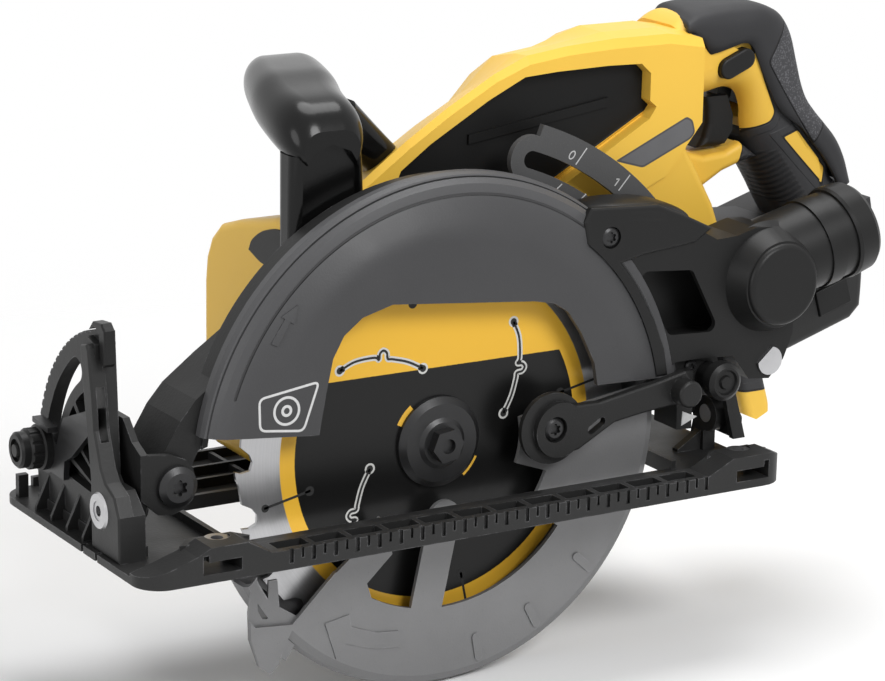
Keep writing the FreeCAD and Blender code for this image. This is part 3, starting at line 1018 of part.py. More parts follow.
def make_body_solid():
    barrel, top, post, horn = make_shell_blank()
    link = prism_y([(112.0, 30.0), (160.0, 40.0), (176.0, 50.0), (196.0, 78.0), (204.0, 92.0), (168.0, 94.0),
                    (112.0, 66.0)], 26.0, 74.0)
    return barrel.fuse([top, post, horn, make_handle_core(), make_foot(), link]).removeSplitter()


def panel_outline():
    return [(-9.0, 132.0), (-6.0, 139.0), (8.0, 149.0), (36.0, 165.0), (54.0, 173.5), (70.0, 174.5), (96.0, 175.0),
            (113.0, 174.5), (118.0, 170.0), (118.0, 158.0), (121.5, 155.0), (118.0, 150.0), (104.0, 142.0), (64.0, 119.0),
            (40.0, 108.0), (-9.0, 108.0)]


def make_inner_void():
    motor = cyl_y(MOTOR_X, MOTOR_Z, 34.0, 38.6, 80.5)
    gearbox = box(-36.0, 33.0, 10.0, 39.0, 3.0, 74.0)
    bearing = cyl_y(MOTOR_X, MOTOR_Z, 9.0, 80.0, 88.5)
    board = box(-50.0, 40.0, 34.0, 76.0, 90.0, 97.0)
    return gearbox.fuse([motor, bearing, board]).removeSplitter()


def main_cavities():
    """Everything taken out of both shell halves."""
    trigger_room = prism_y([(168.0, 154.0), (176.0, 150.0), (181.5, 140.0), (196.0, 150.0), (200.0, 166.0),
                            (186.0, 178.0), (172.0, 172.0)], HANDLE_Y - 9.0, HANDLE_Y + 9.0)
    trigger_mouth = prism_y([(158.0, 152.8), (170.0, 152.8), (180.0, 146.0), (182.0, 133.0), (176.0, 129.0),
                             (158.0, 128.4)], HANDLE_Y - 8.5, HANDLE_Y + 8.5)
    lock_slot = slot_y(164.0, 167.0, 173.0, 170.8, 4.9, HANDLE_Y - 40.0, HANDLE_Y + 40.0)
    return [make_inner_void(), prism_y(panel_outline(), 0.0, 31.0), trigger_room, trigger_mouth, lock_slot]


def make_shells(trims):
    body = make_body_solid()
    for t in main_cavities() + trims:
        body = body.cut(t)
    for i in range(6):
        v = slot_y(-50.0, 34.0 + 9.0 * i, -26.0, 34.0 + 9.0 * i, 1.5, 80.0, 100.0)
        body = body.cut(v)
    near = body.common(box(-200, 400, -50, SPLIT_Y, -100, 400))
    far = body.common(box(-200, 400, SPLIT_Y, 200, -100, 400))
    return biggest(near.removeSplitter()), biggest(far.removeSplitter())


def make_side_panel():
    p = prism_y([(x * 0.996 + 0.3, z * 0.996 + 0.5) for x, z in panel_outline()], 28.6, 31.0)
    rib = prism_y([(30.0, 150.0), (100.0, 160.0), (100.0, 156.0), (30.0, 146.0)], 27.4, 29.0)
    return fuse(p, rib)


# ---------------------------------------------------------------- controls
def make_trigger():
    """Finger trigger; swings on a pin at its top rear."""
    y0, y1 = HANDLE_Y - 8.0, HANDLE_Y + 8.0
    t = prism_y([(161.5, 152.2), (163.2, 147.0), (163.6, 140.0), (162.0, 134.0), (158.8, 129.2), (166.0, 129.0),
                 (173.0, 130.4), (177.0, 136.0), (177.0, 143.0), (173.5, 152.2)], y0, y1)
    t = soften(t, 3.0, lambda e: inside(e, x=(157, 164)) and (inside(e, y=(y0 - .1, y0 + .1)) or inside(e, y=(y1 - .1, y1 + .1))))
    ear = prism_y([(170.0, 150.0), (172.0, 157.0), (176.0, 160.5), (179.5, 158.0), (178.0, 150.0)],
                  HANDLE_Y - 4.0, HANDLE_Y + 4.0)
    return t.fuse(ear).cut(cyl_y(TRIG_X, TRIG_Z, 1.5 + SHAFT_RUN, 0, 100)).removeSplitter()


def make_trigger_pin():
    return cyl_y(TRIG_X, TRIG_Z, 1.5, HANDLE_Y - 9.0, HANDLE_Y + 9.0)


def make_trigger_switch():
    """Switch block held in the grip behind the trigger."""
    b = prism_y([(182.5, 146.0), (194.0, 152.0), (198.0, 164.0), (187.0, 173.0), (180.0, 168.0), (181.5, 156.0)],
                HANDLE_Y - 8.6, HANDLE_Y + 8.6)
    return soften(b, 1.0, lambda e: along(e, "y"))


def make_lock_off():
    """Cross button that must be pushed before the trigger will move."""
    b = slot_y(164.0, 167.0, 173.0, 170.8, 4.6, HANDLE_Y - 22.5, HANDLE_Y + 22.5)
    b = soften(b, 1.0, lambda e: inside(e, y=(HANDLE_Y - 23, HANDLE_Y - 22)) or inside(e, y=(HANDLE_Y + 22, HANDLE_Y + 23)))
    return b


def make_spindle_lock():
    """Push pin beside the motor that drops into one of the holes in the spindle gear."""
    x, z = SPIN_LOCK_X, SPIN_LOCK_Z
    pin = cyl_y(x, z, SPIN_LOCK_R, 28.0 + SPIN_LOCK_STROKE + 0.4, SHELL_Y1 + 1.0)
    cap = cyl_y(x, z, 6.5, SHELL_Y1 + SPIN_LOCK_STROKE + 0.3, SHELL_Y1 + SPIN_LOCK_STROKE + 4.3)
    stem = cyl_y(x, z, 4.5, SHELL_Y1 - 2.0, SHELL_Y1 + SPIN_LOCK_STROKE + 0.4)
    return fuse(pin, stem, soften(cap, 1.2, lambda e: inside(e, y=(SHELL_Y1 + SPIN_LOCK_STROKE + 4.2, SHELL_Y1 + 9.0))))


def spindle_lock_way():
    """Room the spindle lock slides in."""
    x, z = SPIN_LOCK_X, SPIN_LOCK_Z
    return cyl_y(x, z, SPIN_LOCK_R + SHAFT_RUN, 20.0, SHELL_Y1 + 9.0).fuse(
        cyl_y(x, z, 4.5 + SHAFT_RUN, SHELL_Y1 - 2.2 - SPIN_LOCK_STROKE, SHELL_Y1 + 9.0))


# ---------------------------------------------------------------- battery
def make_battery():
    b = batt_prism([(-30.0, 0.0), (19.0, 0.0), (26.0, 3.6), (29.0, 12.0), (36.5, BATT_H), (-30.0, BATT_H)],
                   BATT_Y0, BATT_Y1)
    b = soften(b, 4.0, lambda e: e.Length > 4.5 and (inside(e, y=(BATT_Y0 - 0.1, BATT_Y0 + 0.1)) or
                                                     inside(e, y=(BATT_Y1 - 0.1, BATT_Y1 + 0.1))))
    rails = batt_box(-22.0, 30.0, BATT_H - 0.6, BATT_H + 3.4, RAIL_Y0, RAIL_Y1)
    cut = batt_box(-23.0, 31.0, BATT_H, BATT_H + 1.9, RAIL_Y0 - 1.0, RAIL_Y0 + 2.5)
    cut = cut.fuse(batt_box(-23.0, 31.0, BATT_H, BATT_H + 1.9, RAIL_Y1 - 2.5, RAIL_Y1 + 1.0))
    b = b.fuse(rails).cut(cut)
    u0, u1, w0, w1 = LATCH
    for y0, y1 in ((BATT_Y0 - 1.0, BATT_Y0 + 4.6), (BATT_Y1 - 4.6, BATT_Y1 + 1.0)):
        b = b.cut(batt_box(u0 - RUN, u1 + RUN, w0 - RUN, w1 + RUN, y0, y1))
    return b.removeSplitter()


def battery_room():
    """Space the battery and its rails slide through when it is pulled off."""
    room = batt_box(-30.0 - SEAT, 90.0, -60.0, BATT_H + SEAT, -20.0, 140.0)
    neck = batt_box(-22.0 - SEAT, 90.0, BATT_H, BATT_H + 3.4 + SEAT, RAIL_Y0 + 2.5 - RUN, RAIL_Y1 - 2.5 + RUN)
    head = batt_box(-22.0 - SEAT, 90.0, BATT_H + 1.9 - RUN, BATT_H + 3.4 + SEAT, RAIL_Y0 - RUN, RAIL_Y1 + RUN)
    return room.fuse([neck, head])


def make_terminal_block():
    w = BATT_H + 3.8
    t = batt_box(-12.0, 18.0, w, w + 4.0, 40.0, 62.0)
    for i in range(5):
        t = t.cut(batt_box(-13.0, 4.0, w - 1.0, w + 2.6, 42.0 + 4.0 * i, 43.2 + 4.0 * i))
    return t


def make_latch(side):
    y0, y1 = (BATT_Y0 - 1.4, BATT_Y0 + 2.2) if side < 0 else (BATT_Y1 - 2.2, BATT_Y1 + 1.4)
    u0, u1, w0, w1 = LATCH
    return soften(batt_box(u0, u1, w0, w1, y0, y1), 0.5, lambda e: e.Length > 10)


def make_control_board():
    b = box(-44.0, 34.0, 40.0, 74.0, 92.0, 93.6)
    for cx, cy, h in ((-32.0, 50.0, 2.6), (-14.0, 62.0, 2.6), (6.0, 50.0, 2.4), (22.0, 62.0, 2.4)):
        b = b.fuse(box(cx - 5, cx + 5, cy - 4, cy + 4, 93.6, 93.6 + h))
    return b.removeSplitter()


def make_grip_pad():
    """Soft rubber back of the handle, a skin over the rear of the grip."""
    outer = [((150.0, 170.0), (151.0, 189.2), 41.2, 9.0), ((166.0, 170.0), (170.0, 192.6), 41.2, 10.0),
            ((181.0, 164.0), (193.6, 188.7), 41.2, 11.0), ((190.0, 157.0), (204.2, 170.6), 40.2, 9.0),
            ((195.0, 144.0), (208.8, 152.2), 39.2, 8.0), ((205.0, 131.0), (219.8, 138.4), 38.2, 8.0),
            ((215.0, 117.0), (230.8, 125.0), 38.2, 8.0), ((223.0, 101.0), (240.2, 108.2), 40.2, 8.0)]
    skin = Part.makeLoft([grip_section(*sec) for sec in outer], True, False)
    core = Part.makeLoft([grip_section((f[0] - 3.0, f[1] - 3.0), (r[0] - 2.2, r[1] - 1.8), w - 5.0, rr)
                          for f, r, w, rr in outer], True, False)
    return skin.cut(core)


# ---------------------------------------------------------------- front handle
def make_front_handle(trims):
    leg = Part.makeLoft([
        rounded_section((-45.6, 18.0, 104.0), (1, 0, 0), (0, 1, 0), 34.4, 13.0, 4.0),
        rounded_section((-45.6, 18.0, 130.0), (1, 0, 0), (0, 1, 0), 34.4, 15.0, 5.0),
        rounded_section((-45.6, 19.0, 152.0), (1, 0, 0), (0, 1, 0), 33.0, 19.0, 7.0)], True, False)
    pad = Part.makeLoft([
        rounded_section((-45.6, 9.0, 154.0), (1, 0, 0), (0, 0, 1), 26.0, 16.0, 7.9),
        rounded_section((-45.4, 16.0, 158.0), (1, 0, 0), (0, 0, 1), 35.0, 25.0, 12.0),
        rounded_section((-43.4, 34.0, 162.5), (1, 0, 0), (0, 0, 1), 39.0, 25.0, 12.0),
        rounded_section((-38.0, 54.0, 166.0), (1, 0, 0), (0, 0, 1), 41.0, 24.0, 11.5),
        rounded_section((-31.0, 76.0, 168.5), (1, 0, 0), (0, 0, 1), 39.0, 21.0, 10.2),
        rounded_section((-26.5, 90.0, 169.5), (1, 0, 0), (0, 0, 1), 33.0, 18.0, 8.8),
        rounded_section((-24.5, 98.0, 170.0), (1, 0, 0), (0, 0, 1), 20.0, 11.0, 5.3)], True, False)
    back = Part.makeLoft([
        rounded_section((-30.0, 36.0, 162.0), (0.66, 0, 0.75), (0, 1, 0), 18.0, 22.0, 6.0),
        rounded_section((-13.0, 38.0, 146.5), (0.66, 0, 0.75), (0, 1, 0), 16.0, 22.0, 6.0),
        rounded_section((2.0, 40.0, 132.0), (0.66, 0, 0.75), (0, 1, 0), 16.0, 24.0, 6.0)], True, False)
    h = fuse(leg, pad, back)
    arch = prism_y([(-58.5, 100.0), (-58.5, 146.0), (-54.5, 153.0), (-45.8, 156.5), (-37.0, 153.0), (-32.6, 146.0),
                    (-32.6, 100.0)], 0.0, 12.6)
    h = h.cut(arch)
    for t in trims:
        for step in ((0, 0, 0), (0, 0, SEAT), (0, -SEAT, 0), (0, SEAT, 0), (-SEAT, 0, 0), (SEAT, 0, 0)):
            room = t.copy()
            room.translate(V(*step))
            h = biggest(h.cut(room))
    return h


# ---------------------------------------------------------------- screws
def make_case_screws():
    """Star screws seen on the castings and covers; one solid each."""
    out = {}
    places = {"chute_screw_top": (75.2, GUARD_Y0 + 1.1, 109.8, 4.4), "chute_screw_low": (122.6, -8.0, 46.2, 2.9)}
    for name, (x, y, z, r) in places.items():
        out[name] = (x, y, z, r)
    return out


def housing_screw(x, z, y):
    return screw(x, y, z, (0, 1, 0), 3.6, 2.2, 1.6, 8.0, 1.9)


HOUSING_SCREWS = {"housing_screw_front": (-48.0, 100.0, 88.0),
                  "housing_screw_top": (100.0, 168.0, 72.0), "housing_screw_grip": (222.0, 92.0, 70.0)}


def build():
    add("saw_blade", make_blade())
    add("inner_flange", make_inner_flange())
    add("outer_flange", make_outer_flange())
    add("blade_bolt", make_blade_bolt())
    add("spindle", make_spindle())
    add("spindle_gear", make_spindle_gear())
    add("rotor_shaft", make_rotor_shaft())
    add("rotor_core", make_rotor_core())
    add("cooling_fan", make_fan())
    add("stator", make_stator())
    add("spindle_bearing_front", make_bearing(0, ARBOR_Z, SPINDLE_R + SHAFT_RUN, 13.0, 9.6, 17.4))
    add("spindle_bearing_rear", make_bearing(0, ARBOR_Z, 6.0 + SHAFT_RUN, 10.0, 31.2, 36.9))
    add("motor_bearing_front", make_bearing(MOTOR_X, MOTOR_Z, MSHAFT_R + SHAFT_RUN, 9.5, 32.6, 38.4))
    add("motor_bearing_rear", make_bearing(MOTOR_X, MOTOR_Z, MSHAFT_R + SHAFT_RUN, 9.0, 81.0, 87.6))
    block = make_chute_block()
    add("gear_case", make_gear_case(block))
    add("gear_cover", make_gear_cover())
    add("upper_guard", biggest(make_upper_guard(block).cut(NODES["gear_case"])))
    add("lower_guard", make_lower_guard())
    add("guard_lever", make_guard_lever())
    add("lever_screw", make_lever_screw())
    add("front_bracket", make_front_bracket())
    add("pivot_bolt", make_pivot_bolt())
    clip = make_quadrant_clip()
    add("bevel_quadrant", biggest(make_bevel_quadrant().cut(clip)))
    add("quadrant_clip", clip)
    add("quadrant_bushing", make_quadrant_bushing())
    add("front_bevel_pin", make_front_bevel_pin())
    add("bevel_clamp_plate", make_bevel_clamp_plate())
    add("bevel_knob", make_bevel_knob())
    add("bevel_stud", make_bevel_stud())
    add("shoe", make_shoe())
    add("insert_front", make_insert(-119.0))
    add("insert_rear", make_insert(133.0))
    add("rear_bracket", make_rear_bracket())
    add("rear_bevel_pin", make_rear_bevel_pin())
    add("depth_strap", make_depth_strap())
    add("strap_pin", make_strap_pin())
    add("depth_knob", make_depth_knob())
    add("depth_lever", make_depth_lever())
    stud = make_chute_stud()
    chute = make_dust_chute(block)
    screws = {n: screw(x, y, z, (0, -1, 0), r, 1.8, 1.6, 7.0, r * 0.55)
              for n, (x, y, z, r) in make_case_screws().items()}
    for n, sc in screws.items():
        x, y, z, r = make_case_screws()[n]
        chute = chute.cut(sc).cut(cyl_y(x, z, r + 0.3, y - 8.0, y))
    add("dust_chute", biggest(chute.cut(stud)))
    add("chute_stud", stud)
    for n, sc in screws.items():
        for other in ("gear_case", "upper_guard"):
            NODES[other] = biggest(NODES[other].cut(sc))
        add(n, sc)
    lock_way = spindle_lock_way()
    NODES["gear_cover"] = NODES["gear_cover"].cut(lock_way)
    add("spindle_lock_button", make_spindle_lock())
    near, far = make_shells([NODES["gear_case"], NODES["gear_cover"]])
    battery = make_battery()
    terminal = make_terminal_block()
    pin = make_trigger_pin()
    pad = make_grip_pad()
    hs = {n: housing_screw(x, z, y) for n, (x, z, y) in HOUSING_SCREWS.items()}
    cuts = [battery_room(), terminal, pin, pad, lock_way] + list(hs.values())
    for c in cuts:
        near = near.cut(c)
        far = far.cut(c)
    near, far = biggest(near), biggest(far)
    soft = pad.cut(make_lock_slot_room()).cut(prism_y([(100, 150), (178, 170), (186, 150), (205, 120), (205, 60),
                                                        (100, 60)], 0, 100))
    add("housing_near", near)
    add("housing_far", far)
    add("grip_pad", biggest(soft))
    add("side_panel", make_side_panel().cut(near))
    add("front_handle", make_front_handle([near, far, NODES["gear_case"], NODES["upper_guard"]]))
    add("trigger", make_trigger())
    add("trigger_pin", pin)
    add("trigger_switch", make_trigger_switch())
    add("lock_off_button", make_lock_off())
    add("battery", battery)
    add("battery_latch_near", make_latch(-1))
    add("battery_latch_far", make_latch(1))
    add("terminal_block", terminal)
    add("control_board", make_control_board())
    for n, sc in hs.items():
        add(n, sc)


def make_lock_slot_room():
    return slot_y(164.0, 167.0, 173.0, 170.8, 6.0, 0.0, 100.0)


build()
for name, shape in NODES.items():
    shape.exportStep("parts/" + name + ".step")
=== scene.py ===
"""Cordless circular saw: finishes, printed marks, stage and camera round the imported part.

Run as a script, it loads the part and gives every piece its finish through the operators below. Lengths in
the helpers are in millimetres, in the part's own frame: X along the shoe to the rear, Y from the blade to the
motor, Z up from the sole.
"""

import math

import bmesh
import bpy
import numpy as np
from mathutils import Matrix, Vector


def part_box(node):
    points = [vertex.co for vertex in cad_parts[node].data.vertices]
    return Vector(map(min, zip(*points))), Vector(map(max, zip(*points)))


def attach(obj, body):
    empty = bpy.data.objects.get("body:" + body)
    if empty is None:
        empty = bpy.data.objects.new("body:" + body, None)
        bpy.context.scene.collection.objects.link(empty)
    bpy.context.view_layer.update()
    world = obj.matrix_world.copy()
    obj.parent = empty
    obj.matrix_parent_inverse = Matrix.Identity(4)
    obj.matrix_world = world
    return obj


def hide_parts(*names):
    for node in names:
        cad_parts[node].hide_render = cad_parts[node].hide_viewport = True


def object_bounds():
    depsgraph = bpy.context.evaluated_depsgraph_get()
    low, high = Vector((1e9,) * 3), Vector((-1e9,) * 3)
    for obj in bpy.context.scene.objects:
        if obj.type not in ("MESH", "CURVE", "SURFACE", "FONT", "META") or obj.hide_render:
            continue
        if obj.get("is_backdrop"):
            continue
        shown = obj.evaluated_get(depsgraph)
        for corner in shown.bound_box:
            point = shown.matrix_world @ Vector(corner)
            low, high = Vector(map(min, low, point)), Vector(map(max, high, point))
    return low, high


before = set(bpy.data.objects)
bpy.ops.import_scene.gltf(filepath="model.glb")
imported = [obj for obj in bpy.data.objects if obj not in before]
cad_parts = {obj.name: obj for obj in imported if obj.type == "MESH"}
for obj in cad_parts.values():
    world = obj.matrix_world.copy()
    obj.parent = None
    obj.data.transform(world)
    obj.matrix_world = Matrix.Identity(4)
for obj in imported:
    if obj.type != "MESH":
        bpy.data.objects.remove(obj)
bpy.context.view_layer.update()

bl_info = {
    "name": "Cordless circular saw",
    "version": (1, 0, 0),
    "blender": (4, 5, 0),
    "location": "View3D > Sidebar > Saw",
    "description": "Finishes, marks, stage and camera for a cordless circular saw",
    "category": "Object",
}

MM = 0.001

# Places and faces, mm; pairs are X and Z
ARBOR = (0.0, 28.0)
STRAP_PIN = (144.2, 32.5)
BLADE_FACE_Y = -0.8
GUARD_FACE_Y = -14.0
STRAP_FACE_Y = 10.0
GRIP_MIDDLE_Y = 50.0
GUARD_GROOVE_R = 107.6
STRIPE = [(100.5, 133.0), (115.4, 128.6), (140.6, 139.3), (142.5, 142.0),
          (141.0, 147.5), (137.7, 149.4)]

# Printed marks: how far they stand proud of a face and reach into it, mm; angles in degrees
PRINT_T = 0.05
BLADE_MARK_SEAT = 0.2
MARK_SEAT = 0.3
SLOT_BACK_Y = 0.3
RADIAL_SLOTS = (12.0, 102.0, 192.0, 282.0)
RADIAL_SLOT_HOLES = ((62.0, 2.1), (83.0, 1.7))
ARC_MARKS = (128.0, 308.0)
ARC_MARK_R = 20.6
FIGURE_WIDTH = 0.55

# Plates and the grip's cap: mm, then the cap's shares and powers
POINTER_FRONT_Y, POINTER_BACK_Y = -14.3, -13.6
INSERT_PROUD, INSERT_SUNK, INSERT_BEVEL = 0.7, 0.8, 0.8
CAP_WALL = 3.0
CAP_LEAN, CAP_LEAN_RUN = 0.25, 0.18
CAP_SIDE_POWER, CAP_LIFT_POWER = 0.42, 0.55

# Stage, mm
FLOOR_GAP = 0.2
FLOOR_MIDDLE = (40.0, 20.0)
FLOOR_FADE = (270.0, 820.0)

# Colours that aren't settings
WORN_PAINT = (0.30, 0.30, 0.31)
WORN_SHOE = (0.26, 0.26, 0.27)
SLOT_OUTLINE = (0.62, 0.62, 0.60)
SLOT_SHADOW = (0.008, 0.008, 0.008)
POINTER_METAL = (0.58, 0.58, 0.58)

# Nodes that share a finish
GUARD_CASTINGS = ("upper_guard", "gear_cover")
BRACKETS = ("front_bracket", "rear_bracket", "gear_case")
SHOE_PARTS = ("shoe", "bevel_quadrant")
SHELLS = ("housing_near", "housing_far")
BLACK_MOULDINGS = ("dust_chute", "depth_knob", "bevel_knob", "trigger", "lock_off_button", "trigger_switch",
                   "terminal_block", "battery_latch_near", "battery_latch_far", "spindle_lock_button",
                   "cooling_fan", "depth_lever", "quadrant_clip")
DARK_STEELS = ("bevel_clamp_plate", "outer_flange", "inner_flange", "blade_bolt", "pivot_bolt", "lever_screw",
               "chute_screw_top", "chute_screw_low", "housing_screw_front", "housing_screw_top",
               "housing_screw_grip")
PLATED_STEELS = ("insert_front", "insert_rear", "rear_bevel_pin", "front_bevel_pin", "bevel_stud",
                 "chute_stud", "strap_pin", "trigger_pin", "quadrant_bushing")
BRIGHT_STEELS = ("spindle", "rotor_shaft", "spindle_bearing_front", "spindle_bearing_rear",
                 "motor_bearing_front", "motor_bearing_rear")


# --- finishes
def add_node(tree, kind, feeds=None, **settings):
    """Adds a node, sets its options and feeds its inputs with sockets or plain values."""
    made = tree.nodes.new(kind)
    for key, value in settings.items():
        setattr(made, key, value)
    for key, value in (feeds or {}).items():
        if isinstance(value, bpy.types.NodeSocket):
            tree.links.new(value, made.inputs[key])
        else:
            made.inputs[key].default_value = value
    return made


class Finish:
    """One procedural material being built; lengths it sees are millimetres in the part's frame."""

    def __init__(self, name):
        self.material = bpy.data.materials.new(name)
        self.material.use_nodes = True
        self.tree = self.material.node_tree
        self.tree.nodes.clear()
        coords = self.node("ShaderNodeTexCoord").outputs["Object"]
        feeds = {0: coords, 3: 1.0 / MM}
        self.place = self.node("ShaderNodeVectorMath", feeds, operation="SCALE").outputs[0]
        self.x, self.y, self.z = self.node("ShaderNodeSeparateXYZ", {0: self.place}).outputs

    def node(self, kind, feeds=None, **settings):
        """Adds a node to this material."""
        return add_node(self.tree, kind, feeds, **settings)

    def calc(self, operation, *values):
        """One arithmetic node."""
        return self.node("ShaderNodeMath", dict(enumerate(values)), operation=operation).outputs[0]

    def times(self, one, other):
        """Product of two values."""
        return self.calc("MULTIPLY", one, other)

    def scaled(self, value, gain, offset):
        """Value times gain, plus an offset."""
        return self.calc("MULTIPLY_ADD", value, gain, offset)

    def mix(self, share, low, high):
        """Colour that goes from low to high as share goes from 0 to 1."""
        colours = [c if isinstance(c, bpy.types.NodeSocket) else (*c[:3], 1.0) for c in (low, high)]
        feeds = {0: share, 6: colours[0], 7: colours[1]}
        return self.node("ShaderNodeMix", feeds, data_type="RGBA").outputs[2]

    def between(self, share, low, high):
        """Number that goes from low to high as share goes from 0 to 1."""
        return self.node("ShaderNodeMapRange", {0: share, 3: low, 4: high}).outputs[0]

    def ramp(self, value, start, end):
        """Smooth step from 0 at start to 1 at end."""
        feeds = {0: value, 1: start, 2: end}
        return self.node("ShaderNodeMapRange", feeds, interpolation_type="SMOOTHSTEP").outputs[0]

    def band(self, value, rise, fall):
        """Product of two smooth steps, each given by where it is 0 and where it is 1."""
        return self.times(self.ramp(value, *rise), self.ramp(value, *fall))

    def cloud(self, size, detail, rough=0.55):
        """Soft noise from 0 to 1 whose blotches are about size millimetres across."""
        feeds = {0: self.place, 1: [1.0 / size] * 3}
        spread = self.node("ShaderNodeVectorMath", feeds, operation="MULTIPLY").outputs[0]
        feeds = {"Vector": spread, "Scale": 1.0, "Detail": detail, "Roughness": rough}
        return self.node("ShaderNodeTexNoise", feeds).outputs[0]

    def blotched(self, size, detail, colour, low, high):
        """The colour, in soft blotches between low and high times its strength."""
        return self.mix(self.cloud(size, detail), shade(colour, low), shade(colour, high))

    def wave(self, value, pitch):
        """Goes from 0 to 1 and back once in every pitch of the value."""
        return self.scaled(self.calc("SINE", self.times(value, 2 * math.pi / pitch)), 0.5, 0.5)

    def rings(self, out, scale, detail, rough=0.5):
        """Noise from 0 to 1 that changes only with the distance out from an axis."""
        feeds = {"W": out, "Scale": scale, "Detail": detail, "Roughness": rough}
        return self.node("ShaderNodeTexNoise", feeds, noise_dimensions="1D").outputs[0]

    def pebbles(self, size):
        """Rounded cells about size millimetres across: 0 at their middles, rising to their rims."""
        feeds = {"Vector": self.place, "Scale": 1.0 / size}
        return self.node("ShaderNodeTexVoronoi", feeds, feature="SMOOTH_F1").outputs[0]

    def side(self, a, b):
        """Signed distance to the line from a to b in the XZ plane, positive on its left."""
        dx, dz = b[0] - a[0], b[1] - a[1]
        size = math.hypot(dx, dz)
        nx, nz = -dz / size, dx / size
        part = self.scaled(self.x, nx, -(nx * a[0] + nz * a[1]))
        return self.scaled(self.z, nz, part)

    def within(self, corners, rounding):
        """Signed distance inside a convex outline given anticlockwise, with its corners rounded."""
        sides = [self.side(a, b) for a, b in zip(corners, corners[1:] + corners[:1])]
        depth = sides[0]
        for other in sides[1:]:
            depth = self.calc("SMOOTH_MIN", depth, other, rounding)
        return depth

    def reach(self, x, z):
        """Distance from a line along Y through (x, z)."""
        away = self.node("ShaderNodeCombineXYZ", {0: self.calc("SUBTRACT", self.x, x),
                                                  1: self.calc("SUBTRACT", self.z, z)}).outputs[0]
        return self.node("ShaderNodeVectorMath", {0: away}, operation="LENGTH").outputs[1]

    def worn_edges(self, radius, amount):
        """From 0 on flats to 1 on sharp edges, broken up by noise; found by comparing a rounded normal."""
        rounded = self.node("ShaderNodeBevel", {0: radius * MM}, samples=4).outputs[0]
        flat = self.node("ShaderNodeNewGeometry").outputs["Normal"]
        same = self.node("ShaderNodeVectorMath", {0: rounded, 1: flat}, operation="DOT_PRODUCT").outputs[1]
        edge = self.ramp(same, 0.97, 0.80)
        rubbed = self.ramp(self.cloud(7.0, 5.0, 0.7), 0.62 - amount, 0.72 - 0.3 * amount)
        return self.times(edge, rubbed)

    def bump(self, height, depth, below=None):
        """Surface relief of the given depth in millimetres."""
        feeds = {"Height": height, "Distance": depth * MM, "Strength": 1.0}
        if below is not None:
            feeds["Normal"] = below
        return self.node("ShaderNodeBump", feeds).outputs[0]

    def done(self, **inputs):
        """Joins the surface to the output and returns the material."""
        feeds = {key.replace("_", " "): value for key, value in inputs.items()}
        surface = self.node("ShaderNodeBsdfPrincipled", feeds).outputs[0]
        self.node("ShaderNodeOutputMaterial", {0: surface})
        return self.material


def shade(colour, share):
    """The colour scaled by share, kept between 0 and 1."""
    return tuple(min(1.0, c * share) for c in colour[:3])


def painted_casting(name, colour, grain, rough, wear=0.12, worn=WORN_PAINT, groove=0.0):
    """Satin paint over a casting: orange-peel relief, cloudy tone, pale specks and rubbed edges.

    A groove radius adds a fine parting line round the arbor at that distance, on the blade side only. The
    face rolls gently away towards it, and a painted highlight makes it lighter there."""
    f = Finish(name)
    tone = f.blotched(38.0, 4.0, colour, 0.86, 1.14)
    speck = f.ramp(f.cloud(0.7, 2.0), 0.60, 0.78)
    tone = f.mix(f.times(speck, 0.35), tone, shade(colour, 1.7))
    edge = f.worn_edges(0.7, wear)
    tone = f.mix(f.times(edge, 0.55), tone, worn)
    gloss = f.between(f.cloud(16.0, 5.0), rough - 0.07, rough + 0.10)
    relief = f.bump(f.pebbles(grain), 0.035)
    relief = f.bump(f.cloud(5.0, 2.0), 0.05, relief)
    if groove:
        out = f.reach(*ARBOR)
        outside = f.ramp(f.y, -10.5, -11.0)
        off = f.calc("ABSOLUTE", f.calc("SUBTRACT", out, groove))
        line = f.times(f.ramp(off, 0.75, 0.25), outside)
        line = f.times(line, f.ramp(f.z, 62.0, 63.0))
        roll = f.ramp(out, groove - 20.0, groove + 14.0)
        fall = f.times(f.times(roll, outside), -1.0)
        relief = f.bump(fall, 12.0, relief)
        relief = f.bump(f.times(line, -1.0), 0.6, relief)
        # Painted highlight: the band rolling towards the groove is painted lighter, as the light from above
        # would make it
        tone = f.mix(f.times(roll, 0.35), tone, shade(colour, 2.4))
        tone = f.mix(f.times(line, 0.6), tone, shade(colour, 0.3))
    return f.done(Base_Color=tone, Roughness=gloss, Normal=relief, Specular_IOR_Level=0.2)


def tumbled_alloy(name, colour):
    """Light grey casting, tumbled: fine pits, faint cloudy stains and brighter edges."""
    f = Finish(name)
    tone = f.blotched(24.0, 5.0, colour, 0.88, 1.10)
    pits = f.ramp(f.cloud(0.55, 2.0), 0.34, 0.24)
    tone = f.mix(f.times(pits, 0.4), tone, shade(colour, 0.45))
    edge = f.worn_edges(0.8, 0.2)
    tone = f.mix(f.times(edge, 0.6), tone, shade(colour, 2.0))
    metal = f.between(edge, 0.35, 0.85)
    gloss = f.between(f.cloud(9.0, 4.0), 0.38, 0.52)
    return f.done(Base_Color=tone, Metallic=metal, Roughness=gloss, Normal=f.bump(f.pebbles(0.8), 0.03))


def moulded_plastic(name, colour, rough, grain=0.5, relief=0.02, coat=0.0):
    """Moulded plastic: fine spark-eroded grain, slight tone drift and gloss that varies with handling."""
    f = Finish(name)
    tone = f.blotched(55.0, 3.0, colour, 0.90, 1.10)
    gloss = f.between(f.cloud(20.0, 5.0), rough - 0.06, rough + 0.08)
    skin = f.bump(f.pebbles(grain), relief)
    skin = f.bump(f.cloud(30.0, 2.0), 0.10, skin)
    return f.done(Base_Color=tone, Roughness=gloss, Normal=skin, Coat_Weight=coat, Coat_Roughness=0.08,
                  Specular_IOR_Level=0.2)


